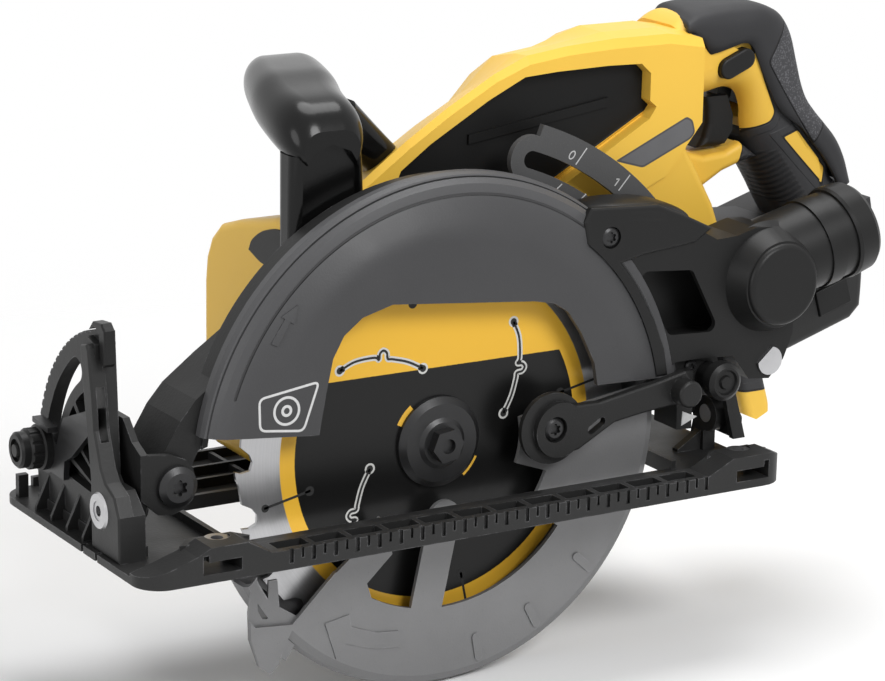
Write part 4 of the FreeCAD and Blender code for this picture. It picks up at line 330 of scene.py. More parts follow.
def turned_steel(name, colour, rough, centre, metal=1.0):
    """Turned metal: fine rings about an axis along Y, with stains and slightly varying gloss."""
    f = Finish(name)
    rings = f.rings(f.reach(*centre), 3.0, 4.0)
    tone = f.blotched(9.0, 4.0, colour, 0.82, 1.12)
    gloss = f.between(f.times(rings, f.cloud(6.0, 4.0)), rough - 0.08, rough + 0.22)
    return f.done(Base_Color=tone, Metallic=metal, Roughness=gloss, Normal=f.bump(rings, 0.02))


def printed_blade(name, steel, dark, yellow, band):
    """Ground saw plate: black printed centre, yellow ring, yellow field above and bare steel outside.

    The print is laid out by distance from the arbor and height over it, with a slightly ragged edge; grinding
    marks are fine rings about the arbor; the print is duller than the steel."""
    f = Finish(name)
    out = f.reach(*ARBOR)
    ragged = f.scaled(f.cloud(1.2, 2.0), 0.25, -0.12)
    out_print = f.calc("ADD", out, ragged)
    rings = f.rings(out, 2.2, 6.0, 0.7)
    printed = f.ramp(out_print, band.outer + 0.15, band.outer - 0.15)
    ringed = f.ramp(out_print, band.inner - 0.15, band.inner + 0.15)
    above = f.ramp(f.calc("ADD", f.z, ragged), band.field - 0.15, band.field + 0.15)
    is_yellow = f.calc("MAXIMUM", ringed, above)
    scuffs = f.ramp(f.cloud(14.0, 6.0, 0.72), 0.60, 0.86)
    dark_ink = f.mix(scuffs, dark, shade(dark, 2.2))
    yellow_ink = f.mix(scuffs, yellow, shade(yellow, 0.82))
    ink = f.mix(is_yellow, dark_ink, yellow_ink)
    bare = f.mix(rings, shade(steel, 0.72), shade(steel, 1.12))
    bare = f.mix(f.ramp(f.cloud(26.0, 4.0), 0.45, 0.75), bare, shade(steel, 0.62))
    tone = f.mix(printed, bare, ink)
    metal = f.between(printed, 0.92, 0.0)
    gloss = f.between(printed, f.between(rings, 0.22, 0.42), f.between(scuffs, 0.30, 0.48))
    marks = f.bump(rings, 0.02)
    return f.done(Base_Color=tone, Metallic=metal, Roughness=gloss, Normal=marks, Specular_IOR_Level=0.25)


def striped_yellow(f, yellow, badge):
    """Clean yellow with a plain grey stripe, rimmed darker, on the near side below the handle."""
    clean = f.blotched(60.0, 3.0, yellow, 0.95, 1.05)
    stripe = f.within(STRIPE, 1.5)
    on_near = f.ramp(f.y, 45.0, 44.0)
    striped = f.times(f.ramp(stripe, 0.0, 0.25), on_near)
    rimmed = f.times(striped, f.ramp(stripe, 1.1, 0.8))
    clean = f.mix(striped, clean, f.blotched(20.0, 2.0, badge, 0.8, 1.25))
    return f.mix(f.times(rimmed, 0.7), clean, shade(badge, 0.35))


def panel_shell(name, dark, yellow, badge):
    """Side panel: black plastic in the recess, and yellow below the line where the strut crosses it."""
    f = Finish(name)
    depth = f.calc("MINIMUM", f.side((60.0, 119.5), (121.5, 153.4)), 5.0)
    is_dark = f.ramp(depth, -0.2, 0.2)
    lip = f.band(depth, (-0.9, -0.2), (0.9, 0.2))
    black = f.blotched(40.0, 3.0, dark, 0.8, 1.2)
    tone = f.mix(is_dark, striped_yellow(f, yellow, badge), black)
    clean_gloss = f.between(f.cloud(24.0, 4.0), 0.34, 0.46)
    gloss = f.between(is_dark, clean_gloss, f.between(f.cloud(18.0, 4.0), 0.36, 0.5))
    skin = f.bump(f.pebbles(0.6), 0.02)
    relief = f.bump(lip, 0.5, skin)
    return f.done(Base_Color=tone, Roughness=gloss, Normal=relief, Specular_IOR_Level=0.12)


def grip_rubber(name, rubber):
    """Soft rubber: pebbled skin, a stippled lighter patch up the back with a fine groove round it."""
    f = Finish(name)
    patch = f.within([(221.0, 140.0), (197.0, 187.0), (185.5, 168.0), (197.0, 150.0), (212.5, 129.0)], 3.0)
    stippled = f.ramp(patch, -0.2, 0.3)
    seam = f.band(patch, (-0.7, 0.0), (0.7, 0.0))
    tone = f.blotched(26.0, 5.0, rubber, 0.85, 1.20)
    dots = f.ramp(f.pebbles(0.9), 0.42, 0.2)
    tone = f.mix(f.times(stippled, f.between(dots, 0.35, 1.0)), tone, shade(rubber, 4.0))
    tone = f.mix(seam, tone, shade(rubber, 0.25))
    gloss = f.between(stippled, f.between(f.cloud(12.0, 4.0), 0.46, 0.60), 0.80)
    grain = f.times(f.pebbles(0.9), f.between(stippled, 0.15, 1.3))
    grain = f.scaled(seam, -3.0, grain)
    return f.done(Base_Color=tone, Roughness=gloss, Normal=f.bump(grain, 0.16), Specular_IOR_Level=0.2)


def two_shot_shell(name, yellow, rubber, badge):
    """Yellow moulding with soft rubber moulded over the top and back of the handle.

    The boundary between the two is a set of straight lines with rounded corners in the side plane. The rubber
    has a pebbled skin, a raised rim beside the boundary, ribs across the lower grip and a stippled patch up
    the back; it also makes a bumper on the far end's flat face. The yellow has a fine grain. A plain grey
    stripe lies on the near side below the handle."""
    f = Finish(name)
    window = f.within([(120.0, 110.0), (173.2, 133.3), (189.7, 140.7), (191.6, 145.0), (176.0, 178.8),
                       (154.6, 173.8), (120.0, 165.6)], 2.2)
    nose = f.calc("SMOOTH_MIN", f.side((147.4, 182.4), (133.1, 187.2)),
                  f.side((154.6, 173.8), (147.4, 182.4)), 2.0)
    nose = f.calc("MINIMUM", nose, f.calc("SUBTRACT", f.z, 150.0))
    strut = f.calc("MINIMUM", f.side((177.0, 124.0), (180.0, 134.0)), f.calc("SUBTRACT", 136.0, f.z))
    insert = f.within([(221.2, 109.3), (222.4, 116.3), (205.6, 135.3), (197.9, 132.8)], 1.6)
    foot = f.calc("SUBTRACT", 18.0, f.z)
    slant = f.calc("MAXIMUM", f.scaled(f.y, 0.25, -7.0), 0.0)
    arm = f.calc("SUBTRACT", f.calc("ADD", slant, 143.0), f.x)
    area = f.calc("SMOOTH_MAX", f.calc("SMOOTH_MAX", window, nose, 2.0), strut, 2.0)
    area = f.calc("MAXIMUM", f.calc("MAXIMUM", area, insert), f.calc("MAXIMUM", foot, arm))
    bumper = f.within([(-53.0, 34.0), (52.0, 31.0), (57.0, 40.0), (57.0, 68.0), (49.0, 79.0), (-44.0, 79.0),
                       (-53.0, 70.0)], 2.0)
    bumper = f.calc("MINIMUM", bumper, f.scaled(f.y, 10.0, -912.0))
    area = f.calc("MINIMUM", area, f.times(bumper, -1.0))
    is_yellow = f.ramp(area, -0.12, 0.12)
    groove = f.band(area, (-1.3, -0.5), (0.1, -0.5))
    rim = f.ramp(area, -4.6, -4.0)
    patch = f.within([(221.0, 140.0), (193.0, 183.0), (181.0, 168.0), (194.0, 150.0), (212.0, 126.0)], 2.5)
    stippled = f.ramp(patch, -0.2, 0.3)
    seam = f.band(patch, (-0.6, 0.0), (0.6, 0.0))
    ribbed = f.ramp(f.within([(186.0, 96.0), (214.0, 104.0), (196.0, 128.0), (176.0, 126.0)], 2.0), 0.0, 1.5)
    along = f.scaled(f.x, 0.80, f.times(f.z, -0.92))
    ribs = f.wave(along, 3.4)

    clean = striped_yellow(f, yellow, badge)
    dark = f.blotched(26.0, 5.0, rubber, 0.85, 1.20)
    dark = f.mix(f.times(stippled, 0.8), dark, shade(rubber, 2.3))
    dark = f.mix(f.times(ribbed, 0.5), dark, shade(rubber, 0.45))
    dark = f.mix(seam, dark, shade(rubber, 0.25))
    tone = f.mix(is_yellow, dark, clean)
    tone = f.mix(groove, tone, shade(rubber, 0.2))
    clean_gloss = f.between(f.cloud(24.0, 4.0), 0.34, 0.46)
    gloss = f.between(is_yellow, f.between(stippled, 0.58, 0.78), clean_gloss)
    grain = f.times(f.pebbles(1.1), f.between(is_yellow, f.between(stippled, 0.25, 1.0), 0.10))
    grain = f.scaled(f.times(ribs, ribbed), 1.6, grain)
    grain = f.scaled(f.calc("ADD", groove, seam), -2.0, grain)
    grain = f.scaled(f.times(rim, f.between(is_yellow, 1.0, 0.0)), 1.5, grain)
    return f.done(Base_Color=tone, Roughness=gloss, Normal=f.bump(grain, 0.16), Specular_IOR_Level=0.3)


def wound_core(name, copper, iron):
    """Motor windings and laminations: patches of copper turns and of dark sheets, ridged along Y."""
    f = Finish(name)
    turns = f.wave(f.y, 0.8)
    tone = f.mix(f.ramp(f.cloud(6.0, 2.0), 0.48, 0.56), f.mix(turns, shade(iron, 0.7), iron),
                 f.mix(turns, shade(copper, 0.6), copper))
    return f.done(Base_Color=tone, Metallic=0.8, Roughness=f.between(turns, 0.3, 0.5),
                  Normal=f.bump(turns, 0.15))


def circuit_board(name, green):
    """Solder-masked board: faint tracks under a glossy skin."""
    f = Finish(name)
    tracks = f.ramp(f.pebbles(4.0), 0.42, 0.5)
    tone = f.mix(tracks, green, shade(green, 1.8))
    return f.done(Base_Color=tone, Roughness=f.between(tracks, 0.2, 0.35), Normal=f.bump(tracks, 0.05))


def printed_mark(name, colour, rough=0.5):
    """Printed ink: a slightly mottled coat over fine grain."""
    f = Finish(name)
    tone = f.blotched(1.4, 3.0, colour, 0.86, 1.06)
    gloss = f.between(f.cloud(3.0, 3.0), rough - 0.08, rough + 0.10)
    return f.done(Base_Color=tone, Roughness=gloss, Normal=f.bump(f.cloud(0.8, 2.0), 0.01))


def studio_floor(name, colour, near, far):
    """Pale floor that melts into the white surround between two distances from the saw."""
    f = Finish(name)
    out = f.node("ShaderNodeVectorMath", {0: f.place}, operation="LENGTH").outputs[1]
    tone = f.blotched(600.0, 2.0, colour, 0.99, 1.01)
    board = f.node("ShaderNodeBsdfDiffuse", {0: tone}).outputs[0]
    clear = f.node("ShaderNodeBsdfTransparent").outputs[0]
    both = f.node("ShaderNodeMixShader", {0: f.ramp(out, near, far), 1: board, 2: clear}).outputs[0]
    f.node("ShaderNodeOutputMaterial", {0: both})
    return f.material


def give(material, *nodes):
    """Puts the material in every slot of these nodes' objects."""
    for name in nodes:
        mesh_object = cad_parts[name]
        if not mesh_object.material_slots:
            mesh_object.data.materials.append(None)
        for holder in mesh_object.material_slots:
            holder.link = "OBJECT"
            holder.material = material


# --- surfaces
def bezier(points, count):
    """Bernstein curve: each control point weighted by C(n,k) t^k (1-t)^(n-k), for t even from 0 to 1."""
    points = np.asarray(points, float)
    t = np.linspace(0.0, 1.0, count)[:, None]
    n = len(points) - 1
    return sum(math.comb(n, k) * t ** k * (1 - t) ** (n - k) * points[k] for k in range(n + 1))


def arc(cx, cz, radius, start, end, count):
    """Circle in the XZ plane: radius times cosine and sine of angles from start to end, in degrees."""
    a = np.radians(np.linspace(start, end, count))
    return np.column_stack([cx + radius * np.cos(a), cz + radius * np.sin(a)])


def smooth_line(points, count):
    """Cubic Hermite curve through the points; each slope is half the step between its two neighbours."""
    p = np.asarray(points, float)
    padded = np.vstack([2 * p[0] - p[1], p, 2 * p[-1] - p[-2]])
    slope = (padded[2:] - padded[:-2]) / 2.0
    s = np.linspace(0.0, len(p) - 1.0, count)
    i = np.minimum(s.astype(int), len(p) - 2)
    t = (s - i)[:, None]
    return ((2 * t ** 3 - 3 * t ** 2 + 1) * p[i] + (t ** 3 - 2 * t ** 2 + t) * slope[i]
            + (3 * t ** 2 - 2 * t ** 3) * p[i + 1] + (t ** 3 - t ** 2) * slope[i + 1])


def eased(corners, cut):
    """Closed outline with each corner eased into a Bernstein curve that starts and ends cut away from it."""
    c = np.asarray(corners, float)
    before, after = np.roll(c, 1, 0) - c, np.roll(c, -1, 0) - c
    starts = c + before * (cut / np.linalg.norm(before, axis=1))[:, None]
    stops = c + after * (cut / np.linalg.norm(after, axis=1))[:, None]
    return np.vstack([bezier([a, b, d], 7) for a, b, d in zip(starts, c, stops)])


def tube_faces(rings, around, wrap=False):
    """Quads between neighbouring sections of a swept form, and end faces where the sweep does not close."""
    i = np.arange(rings if wrap else rings - 1)[:, None] * around
    j = np.arange(around)[None, :]
    nxt = (j + 1) % around
    total = rings * around
    quads = np.stack([i + j, i + nxt, (i + around + nxt) % total, (i + around + j) % total], -1)
    faces = quads.reshape(-1, 4).tolist()
    if not wrap:
        faces.append(list(range(around - 1, -1, -1)))
        faces.append(list(range(total - around, total)))
    return faces


def strip(line, width, y0, y1, wrap=False):
    """Flat band along a line in the XZ plane.

    Each station has four corners: the line's point plus and minus half the width along the line's normal, at
    y0 and at y1."""
    line = np.asarray(line, float)
    if wrap:
        run = np.roll(line, -1, 0) - np.roll(line, 1, 0)
    else:
        run = np.gradient(line, axis=0)
    run /= np.linalg.norm(run, axis=1)[:, None]
    normal = np.column_stack([-run[:, 1], run[:, 0]])
    half = normal * (width / 2.0)
    corners = [np.column_stack([edge[:, 0], np.full(len(line), y), edge[:, 1]])
               for edge, y in ((line + half, y0), (line - half, y0), (line - half, y1), (line + half, y1))]
    return np.stack(corners, 1).reshape(-1, 3), tube_faces(len(line), 4, wrap)


def lozenge(outline, y0, y1, inset=0.0):
    """Plate between y0 and y1 with the given outline in the XZ plane; its y0 face is drawn in by inset."""
    outline = np.asarray(outline, float)
    middle = outline.mean(0)
    arm = outline - middle
    size = np.linalg.norm(arm, axis=1)[:, None]
    top = middle + arm * (1.0 - inset / size)
    front = np.column_stack([top[:, 0], np.full(len(top), y0), top[:, 1]])
    back = np.column_stack([outline[:, 0], np.full(len(top), y1), outline[:, 1]])
    return np.vstack([front, back]), tube_faces(2, len(outline))


def joined(parts):
    """Several point-and-face sets as one, with the face numbers moved on."""
    points, faces, start = [], [], 0
    for verts, polys in parts:
        points.append(verts)
        faces.extend((np.array(poly) + start).tolist() for poly in polys)
        start += len(verts)
    return np.vstack(points), faces


def make_piece(name, shape, material, body, smooth=False):
    """Mesh object in the part's frame with its faces turned outward, riding on a body."""
    points, faces = shape
    mesh = bpy.data.meshes.new(name)
    mesh.from_pydata((np.asarray(points) * MM).tolist(), [], faces)
    mesh.update()
    piece = bpy.data.objects.new(name, mesh)
    bpy.context.scene.collection.objects.link(piece)
    turn_outward(mesh)
    if smooth:
        mesh.shade_smooth()
    mesh.materials.append(material)
    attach(piece, body)
    return piece


def turn_outward(mesh):
    """Makes every closed shell's faces agree and point away from its inside."""
    work = bmesh.new()
    work.from_mesh(mesh)
    bmesh.ops.recalc_face_normals(work, faces=work.faces)
    work.to_mesh(mesh)
    work.free()
    mesh.update()


# --- settings
def colour_setting(name, thing, default):
    """The colour of a thing, in linear light from 0 to 1."""
    return bpy.props.FloatVectorProperty(name=name, description="Colour of " + thing, subtype="COLOR",
                                         size=3, min=0.0, max=1.0, default=default)


def length_setting(name, description, default):
    """A length in millimetres."""
    return bpy.props.FloatProperty(name=name, description=description + ", mm", default=default, min=0.0)


def angle_setting(name, description, degrees):
    """An angle, given here in degrees and kept in radians."""
    return bpy.props.FloatProperty(name=name, description=description, subtype="ANGLE",
                                   default=math.radians(degrees))


def power_setting(name, description, watts):
    """A lamp's power in watts."""
    return bpy.props.FloatProperty(name=name, description=description, unit="POWER", default=watts, min=0.0)


class SawColours(bpy.types.PropertyGroup):
    """Colours of the saw's finishes."""
    yellow: colour_setting("Housing yellow", "the moulded housing", (0.88, 0.545, 0.074))
    rubber: colour_setting("Grip rubber", "the soft overmould", (0.030, 0.030, 0.032))
    black: colour_setting("Black plastic", "the black mouldings", (0.011, 0.011, 0.011))
    battery: colour_setting("Battery case", "the battery's case", (0.024, 0.024, 0.024))
    gloss: colour_setting("Front handle", "the glossy front handle", (0.004, 0.004, 0.004))
    guard: colour_setting("Upper guard", "the painted guard and gear cover", (0.056, 0.056, 0.058))
    bracket: colour_setting("Brackets", "the darker painted castings", (0.016, 0.016, 0.016))
    shoe: colour_setting("Shoe", "the painted shoe", (0.022, 0.022, 0.022))
    lower: colour_setting("Lower guard", "the tumbled casting", (0.20, 0.20, 0.203))
    strap: colour_setting("Depth strap", "the depth strap", (0.080, 0.080, 0.081))
    steel: colour_setting("Bright steel", "ground steel", (0.50, 0.50, 0.51))
    dark_steel: colour_setting("Dark steel", "blackened steel", (0.030, 0.030, 0.031))
    print_yellow: colour_setting("Blade yellow", "the blade's yellow print", (0.82, 0.47, 0.045))
    print_black: colour_setting("Blade black", "the blade's black print", (0.006, 0.006, 0.006))
    marks: colour_setting("Light marks", "scale marks and outlines", (0.55, 0.55, 0.55))
    recess: colour_setting("Side recess", "the dark side panel", (0.010, 0.010, 0.010))
    badge: colour_setting("Side stripe", "the plain stripe under the handle", (0.13, 0.13, 0.135))
    copper: colour_setting("Windings", "the motor windings", (0.62, 0.30, 0.12))
    board: colour_setting("Circuit board", "the solder mask", (0.03, 0.16, 0.07))


class SawSizes(bpy.types.PropertyGroup):
    """Sizes of the printed marks and the grip, in millimetres."""
    inner: length_setting("Ring inside", "Inner radius of the yellow ring on the blade", 67.7)
    outer: length_setting("Ring outside", "Outer radius of the yellow ring on the blade", 74.6)
    field: length_setting("Yellow field", "Height where the blade's yellow field starts", 60.0)
    relief: length_setting("Relief slot width", "Width of the blade's relief slots", 1.0)
    halo: length_setting("Relief slot outline", "Width of the light outline of the relief slots", 2.6)
    grip: length_setting("Grip width", "Width of the handle over its rubber", 43.0)
    tick: length_setting("Tick width", "Width of the depth scale's marks", 0.55)


class SawStage(bpy.types.PropertyGroup):
    """Camera, lamps and floor."""
    lens: bpy.props.FloatProperty(name="Lens", description="Focal length in millimetres",
                                  default=134.98, min=20.0)
    azimuth: angle_setting("Azimuth", "Camera's turn from the blade side", -31.29)
    elevation: angle_setting("Elevation", "Camera's height above the horizon", 15.25)
    roll: angle_setting("Roll", "Camera's turn about its own line of sight", 1.03)
    offset: bpy.props.FloatVectorProperty(name="Offset", description="Camera's place along its own axes",
                                          subtype="TRANSLATION", unit="LENGTH",
                                          default=(0.00311, 0.06863, 1.39246))
    key: power_setting("Key lamp", "Power of the main soft lamp", 20.5)
    fill: power_setting("Fill lamp", "Power of the side lamp", 7.0)
    top: power_setting("Top lamp", "Power of the overhead lamp", 18.0)
    sky: bpy.props.FloatProperty(name="Surround", description="Brightness of the white surround on the saw",
                                 default=0.34, min=0.0)
    floor: colour_setting("Floor", "the floor", (0.95, 0.95, 0.95))


# --- operators
class SAW_OT_castings(bpy.types.Operator):
    """Guards, gear case, brackets, shoe and strap"""
    bl_idname = "saw.castings"
    bl_label = "Finish the castings"

    def execute(self, context):
        c = context.scene.saw_colours
        give(painted_casting("guard_paint", c.guard, 0.9, 0.40, groove=GUARD_GROOVE_R), *GUARD_CASTINGS)
        give(painted_casting("bracket_paint", c.bracket, 1.0, 0.42), *BRACKETS)
        give(painted_casting("shoe_paint", c.shoe, 1.2, 0.40, wear=0.22, worn=WORN_SHOE), *SHOE_PARTS)
        give(painted_casting("strap_paint", c.strap, 0.8, 0.42), "depth_strap")
        give(painted_casting("lever_paint", c.bracket, 0.7, 0.38), "guard_lever")
        give(tumbled_alloy("lower_guard_alloy", c.lower), "lower_guard")
        return {"FINISHED"}


class SAW_OT_mouldings(bpy.types.Operator):
    """Plastic and rubber: housing, grip, front handle, chute, battery and knobs"""
    bl_idname = "saw.mouldings"
    bl_label = "Finish the mouldings"

    def execute(self, context):
        c = context.scene.saw_colours
        give(two_shot_shell("handle_shell", c.yellow, c.rubber, c.badge), *SHELLS)
        give(panel_shell("recess_panel", c.recess, c.yellow, c.badge), "side_panel")
        give(grip_rubber("grip_pad_rubber", c.rubber), "grip_pad")
        give(moulded_plastic("black_moulding", c.black, 0.38), *BLACK_MOULDINGS)
        give(moulded_plastic("battery_case", c.battery, 0.46, grain=0.7, relief=0.03), "battery")
        give(moulded_plastic("glossy_handle", c.gloss, 0.20, grain=0.4, relief=0.002, coat=0.10),
             "front_handle")
        give(circuit_board("solder_mask", c.board), "control_board")
        return {"FINISHED"}


class SAW_OT_metals(bpy.types.Operator):
    """Blade, flanges, pins, screws, bearings, gears and motor"""
    bl_idname = "saw.metals"
    bl_label = "Finish the metal pieces"

    def execute(self, context):
        c = context.scene.saw_colours
        give(printed_blade("blade_plate", c.steel, c.print_black, c.print_yellow, context.scene.saw_sizes),
             "saw_blade")
        give(turned_steel("blackened_steel", c.dark_steel, 0.36, ARBOR, 0.55), *DARK_STEELS)
        give(turned_steel("zinc_plate", c.steel, 0.34, STRAP_PIN), *PLATED_STEELS)
        give(turned_steel("ground_steel", c.steel, 0.20, ARBOR), *BRIGHT_STEELS)
        give(turned_steel("gear_steel", shade(c.steel, 0.7), 0.28, ARBOR), "spindle_gear")
        give(wound_core("windings", c.copper, c.bracket), "stator", "rotor_core")
        return {"FINISHED"}


class SAW_OT_blade_marks(bpy.types.Operator):
    """Curled slots with light outlines, radial slots, and two arcs beside the flange"""
    bl_idname = "saw.blade_marks"
    bl_label = "Mark the blade"

    def execute(self, context):
        c = context.scene.saw_colours
        s = context.scene.saw_sizes
        light = printed_mark("slot_outline", SLOT_OUTLINE)
        dark = printed_mark("slot_shadow", SLOT_SHADOW, 0.7)
        yellow = printed_mark("arrow_ink", c.print_yellow)
        halo_y, slot_y = BLADE_FACE_Y - PRINT_T, BLADE_FACE_Y - 2 * PRINT_T
        seat_y = BLADE_FACE_Y + BLADE_MARK_SEAT
        halos, slots = [], []
        for quarter in range(4):
            line = curled_slot(90.0 * quarter)
            halos.append(strip(line, s.halo, halo_y, seat_y))
            slots.append(strip(line, s.relief, slot_y, seat_y))
            for x, z in line[[0, -1]]:
                halos.append(lozenge(arc(x, z, 2.4, 0, 348, 30), halo_y, seat_y))
                slots.append(lozenge(arc(x, z, 1.5, 0, 345, 24), slot_y, seat_y))
        for angle in RADIAL_SLOTS:
            a = math.radians(angle)
            way = np.array([math.cos(a), math.sin(a)])
            ray = np.outer([61.5, 70.0, 83.5], way) + ARBOR
            slots.append(strip(ray, 1.1, halo_y, SLOT_BACK_Y))
            for radius, size in RADIAL_SLOT_HOLES:
                hole = ARBOR + radius * way
                slots.append(lozenge(arc(*hole, size, 0, 345, 24), halo_y, SLOT_BACK_Y))
        make_piece("blade_slot_outlines", joined(halos), light, "blade_group")
        make_piece("blade_relief_slots", joined(slots), dark, "blade_group")
        arcs = [strip(arc(*ARBOR, ARC_MARK_R, a, a + 26, 14), 2.2, halo_y, seat_y) for a in ARC_MARKS]
        make_piece("blade_arc_marks", joined(arcs), yellow, "blade_group")
        return {"FINISHED"}


def curled_slot(turn):
    """A relief slot: two gentle bends joined by a small loop half way, then turned about the arbor.

    The line is a Hermite curve through its corner points; the turn is the usual rotation of X and Z."""
    points = [(-47.0, 36.4), (-39.9, 39.3), (-31.0, 39.9), (-28.6, 38.8), (-28.2, 41.2), (-26.6, 42.4),
              (-24.9, 41.2), (-24.4, 38.6), (-21.9, 38.1), (-14.7, 36.0), (-7.5, 32.3)]
    a = math.radians(turn)
    spin = np.array([[math.cos(a), math.sin(a)], [-math.sin(a), math.cos(a)]])
    return smooth_line(points, 90) @ spin + ARBOR


class SAW_OT_guard_marks(bpy.types.Operator):
    """Plain outlined field with a disc on the upper guard"""
    bl_idname = "saw.guard_marks"
    bl_label = "Mark the upper guard"

    def execute(self, context):
        light = printed_mark("guard_ink", shade(context.scene.saw_colours.marks, 1.15))
        y0, y1 = GUARD_FACE_Y - PRINT_T, GUARD_FACE_Y + MARK_SEAT
        corners = [(-91.0, 61.6), (-63.9, 65.4), (-70.9, 45.8), (-90.6, 48.4)]
        frame_line = strip(eased(corners, 2.6), 1.0, y0, y1, wrap=True)
        disc = (-78.6, 55.2)
        ring = strip(arc(*disc, 5.6, 0, 352, 46), 1.1, y0, y1, wrap=True)
        hub = strip(arc(*disc, 1.9, 0, 345, 24), 1.2, y0, y1, wrap=True)
        make_piece("guard_field_outline", joined([frame_line, ring, hub]), light, "saw_body")
        return {"FINISHED"}


class SAW_OT_grip_cap(bpy.types.Operator):
    """Soft rubber cap over the top and back of the handle"""
    bl_idname = "saw.grip_cap"
    bl_label = "Make the grip's rubber"

    def execute(self, context):
        edge = [(141.5, 184.7), (146.0, 183.0), (150.5, 179.5), (153.5, 175.8), (157.0, 174.6),
                (164.0, 176.2), (171.5, 177.8), (176.5, 176.0), (180.0, 169.5), (183.5, 162.5),
                (187.5, 155.0), (192.0, 147.5), (198.0, 142.0), (205.5, 137.0), (212.0, 130.0),
                (218.5, 123.0), (224.0, 115.5), (229.0, 107.5)]
        crest = [(142.0, 189.4), (147.0, 191.9), (154.0, 193.0), (163.0, 193.7), (170.0, 194.0),
                 (177.0, 194.1), (184.0, 193.7), (191.0, 191.6), (197.0, 188.0), (202.2, 180.0),
                 (205.8, 168.0), (208.8, 157.5), (212.0, 149.8), (216.8, 143.4), (222.8, 137.2),
                 (229.2, 130.0), (233.9, 121.2), (237.4, 109.5)]
        shape = saddle(edge, crest, context.scene.saw_sizes.grip, CAP_WALL, CAP_LEAN)
        rubber = grip_rubber("grip_rubber", context.scene.saw_colours.rubber)
        cap = make_piece("grip_rubber_cap", shape, rubber, "saw_body", smooth=True)
        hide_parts("grip_pad")
        return {"FINISHED"}


def saddle(edge, crest, width, thick, lean):
    """Rubber saddle over a bar: each section goes from the near edge over the crest to the far edge.

    Across the section Y is the middle minus half the width times the cosine to a low power, and the place in
    the side plane moves from the edge to the crest by the sine to a low power, so it is square with round
    corners. The inner face is the same with a smaller width and crest. Stations follow Hermite curves. The
    front end leans: X grows by a share of the distance across, fading out along the first stations."""
    along, across = 110, 33
    rim, top = smooth_line(edge, along), smooth_line(crest, along)
    rise = top - rim
    reach = np.linalg.norm(rise, axis=1)[:, None]
    t = np.linspace(0.0, math.pi, across)
    side = np.sign(np.cos(t)) * np.abs(np.cos(t)) ** CAP_SIDE_POWER
    lift = np.sin(t) ** CAP_LIFT_POWER
    outer = rim[:, None, :] + rise[:, None, :] * lift[None, :, None]
    inner_rise = rise * (1.0 - thick / reach)
    inner = rim[:, None, :] + inner_rise[:, None, :] * lift[None, ::-1, None] + 0.02 * rise[:, None, :]
    y_out = GRIP_MIDDLE_Y - width / 2.0 * side[None, :] * np.ones((along, 1))
    y_in = GRIP_MIDDLE_Y + (width / 2.0 - thick) * side[None, :] * np.ones((along, 1))
    ring = np.concatenate([np.dstack([outer[..., 0], y_out, outer[..., 1]]),
                           np.dstack([inner[..., 0], y_in, inner[..., 1]])], axis=1)
    fade = np.maximum(1.0 - np.arange(along) / (CAP_LEAN_RUN * along), 0.0)[:, None]
    ring[..., 0] += lean * fade * (ring[..., 1] - (GRIP_MIDDLE_Y - width / 2.0))
    points, faces = ring.reshape(-1, 3), tube_faces(along, 2 * across)[:-2]
    i = np.arange(across - 1)
    j = 2 * across - 1 - i
    last = (along - 1) * 2 * across
    ends = np.vstack([np.column_stack([i, j, j - 1, i + 1]),
                      np.column_stack([i, i + 1, j - 1, j]) + last])
    return points, faces + ends.tolist()


class SAW_OT_depth_scale(bpy.types.Operator):
    """Ticks and figures along the depth strap"""
    bl_idname = "saw.depth_scale"
    bl_label = "Mark the depth scale"

    def execute(self, context):
        light = printed_mark("scale_ink", context.scene.saw_colours.marks)
        y0, y1 = STRAP_FACE_Y - PRINT_T, STRAP_FACE_Y + MARK_SEAT
        ticks = [[(78.0, 143.2), (72.5, 136.6)], [(100.5, 129.4), (94.8, 123.1)],
                 [(65.9, 128.9), (63.4, 127.0)], [(78.2, 123.3), (75.2, 121.0)],
                 [(141.4, 20.0), (146.4, 19.5)]]
        width = context.scene.saw_sizes.tick
        parts = [strip(np.linspace(a, b, 4), width, y0, y1) for a, b in ticks]
        # Stands the figures up across the strap: its slant's cosine and sine
        upright = np.array([[0.756, -0.655], [0.655, 0.756]])
        nought = arc(0.0, 0.0, 1.0, 0, 350, 30) * np.array([1.15, 1.85]) @ upright + np.array([70.6, 140.9])
        parts.append(strip(nought, FIGURE_WIDTH, y0, y1, wrap=True))
        for stroke in ([(0.35, -1.85), (0.35, 1.85)], [(-0.95, 0.85), (0.35, 1.75)]):
            line = np.array(stroke) @ upright + np.array([93.7, 127.0])
            parts.append(strip(line, FIGURE_WIDTH, y0, y1))
        make_piece("depth_scale_marks", joined(parts), light, "strap_group")
        return {"FINISHED"}


class SAW_OT_front_insert(bpy.types.Operator):
    """Dark plate let into the front face of the yellow motor housing"""
    bl_idname = "saw.front_insert"
    bl_label = "Make the front insert"

    def execute(self, context):
        face_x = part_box("housing_near")[0].x / MM
        outline = [(50.0, 106.0), (46.5, 111.5), (36.0, 117.5), (20.0, 119.5), (20.0, 105.0), (36.0, 102.0)]
        closed = smooth_line(outline + outline[:1], 60)[:-1]
        points, faces = lozenge(closed, face_x - INSERT_PROUD, face_x + INSERT_SUNK, INSERT_BEVEL)
        turned = np.column_stack([points[:, 1], points[:, 0], points[:, 2]])
        plastic = moulded_plastic("insert_moulding", context.scene.saw_colours.black, 0.4)
        make_piece("front_insert_plate", (turned, faces), plastic, "saw_body")
        return {"FINISHED"}


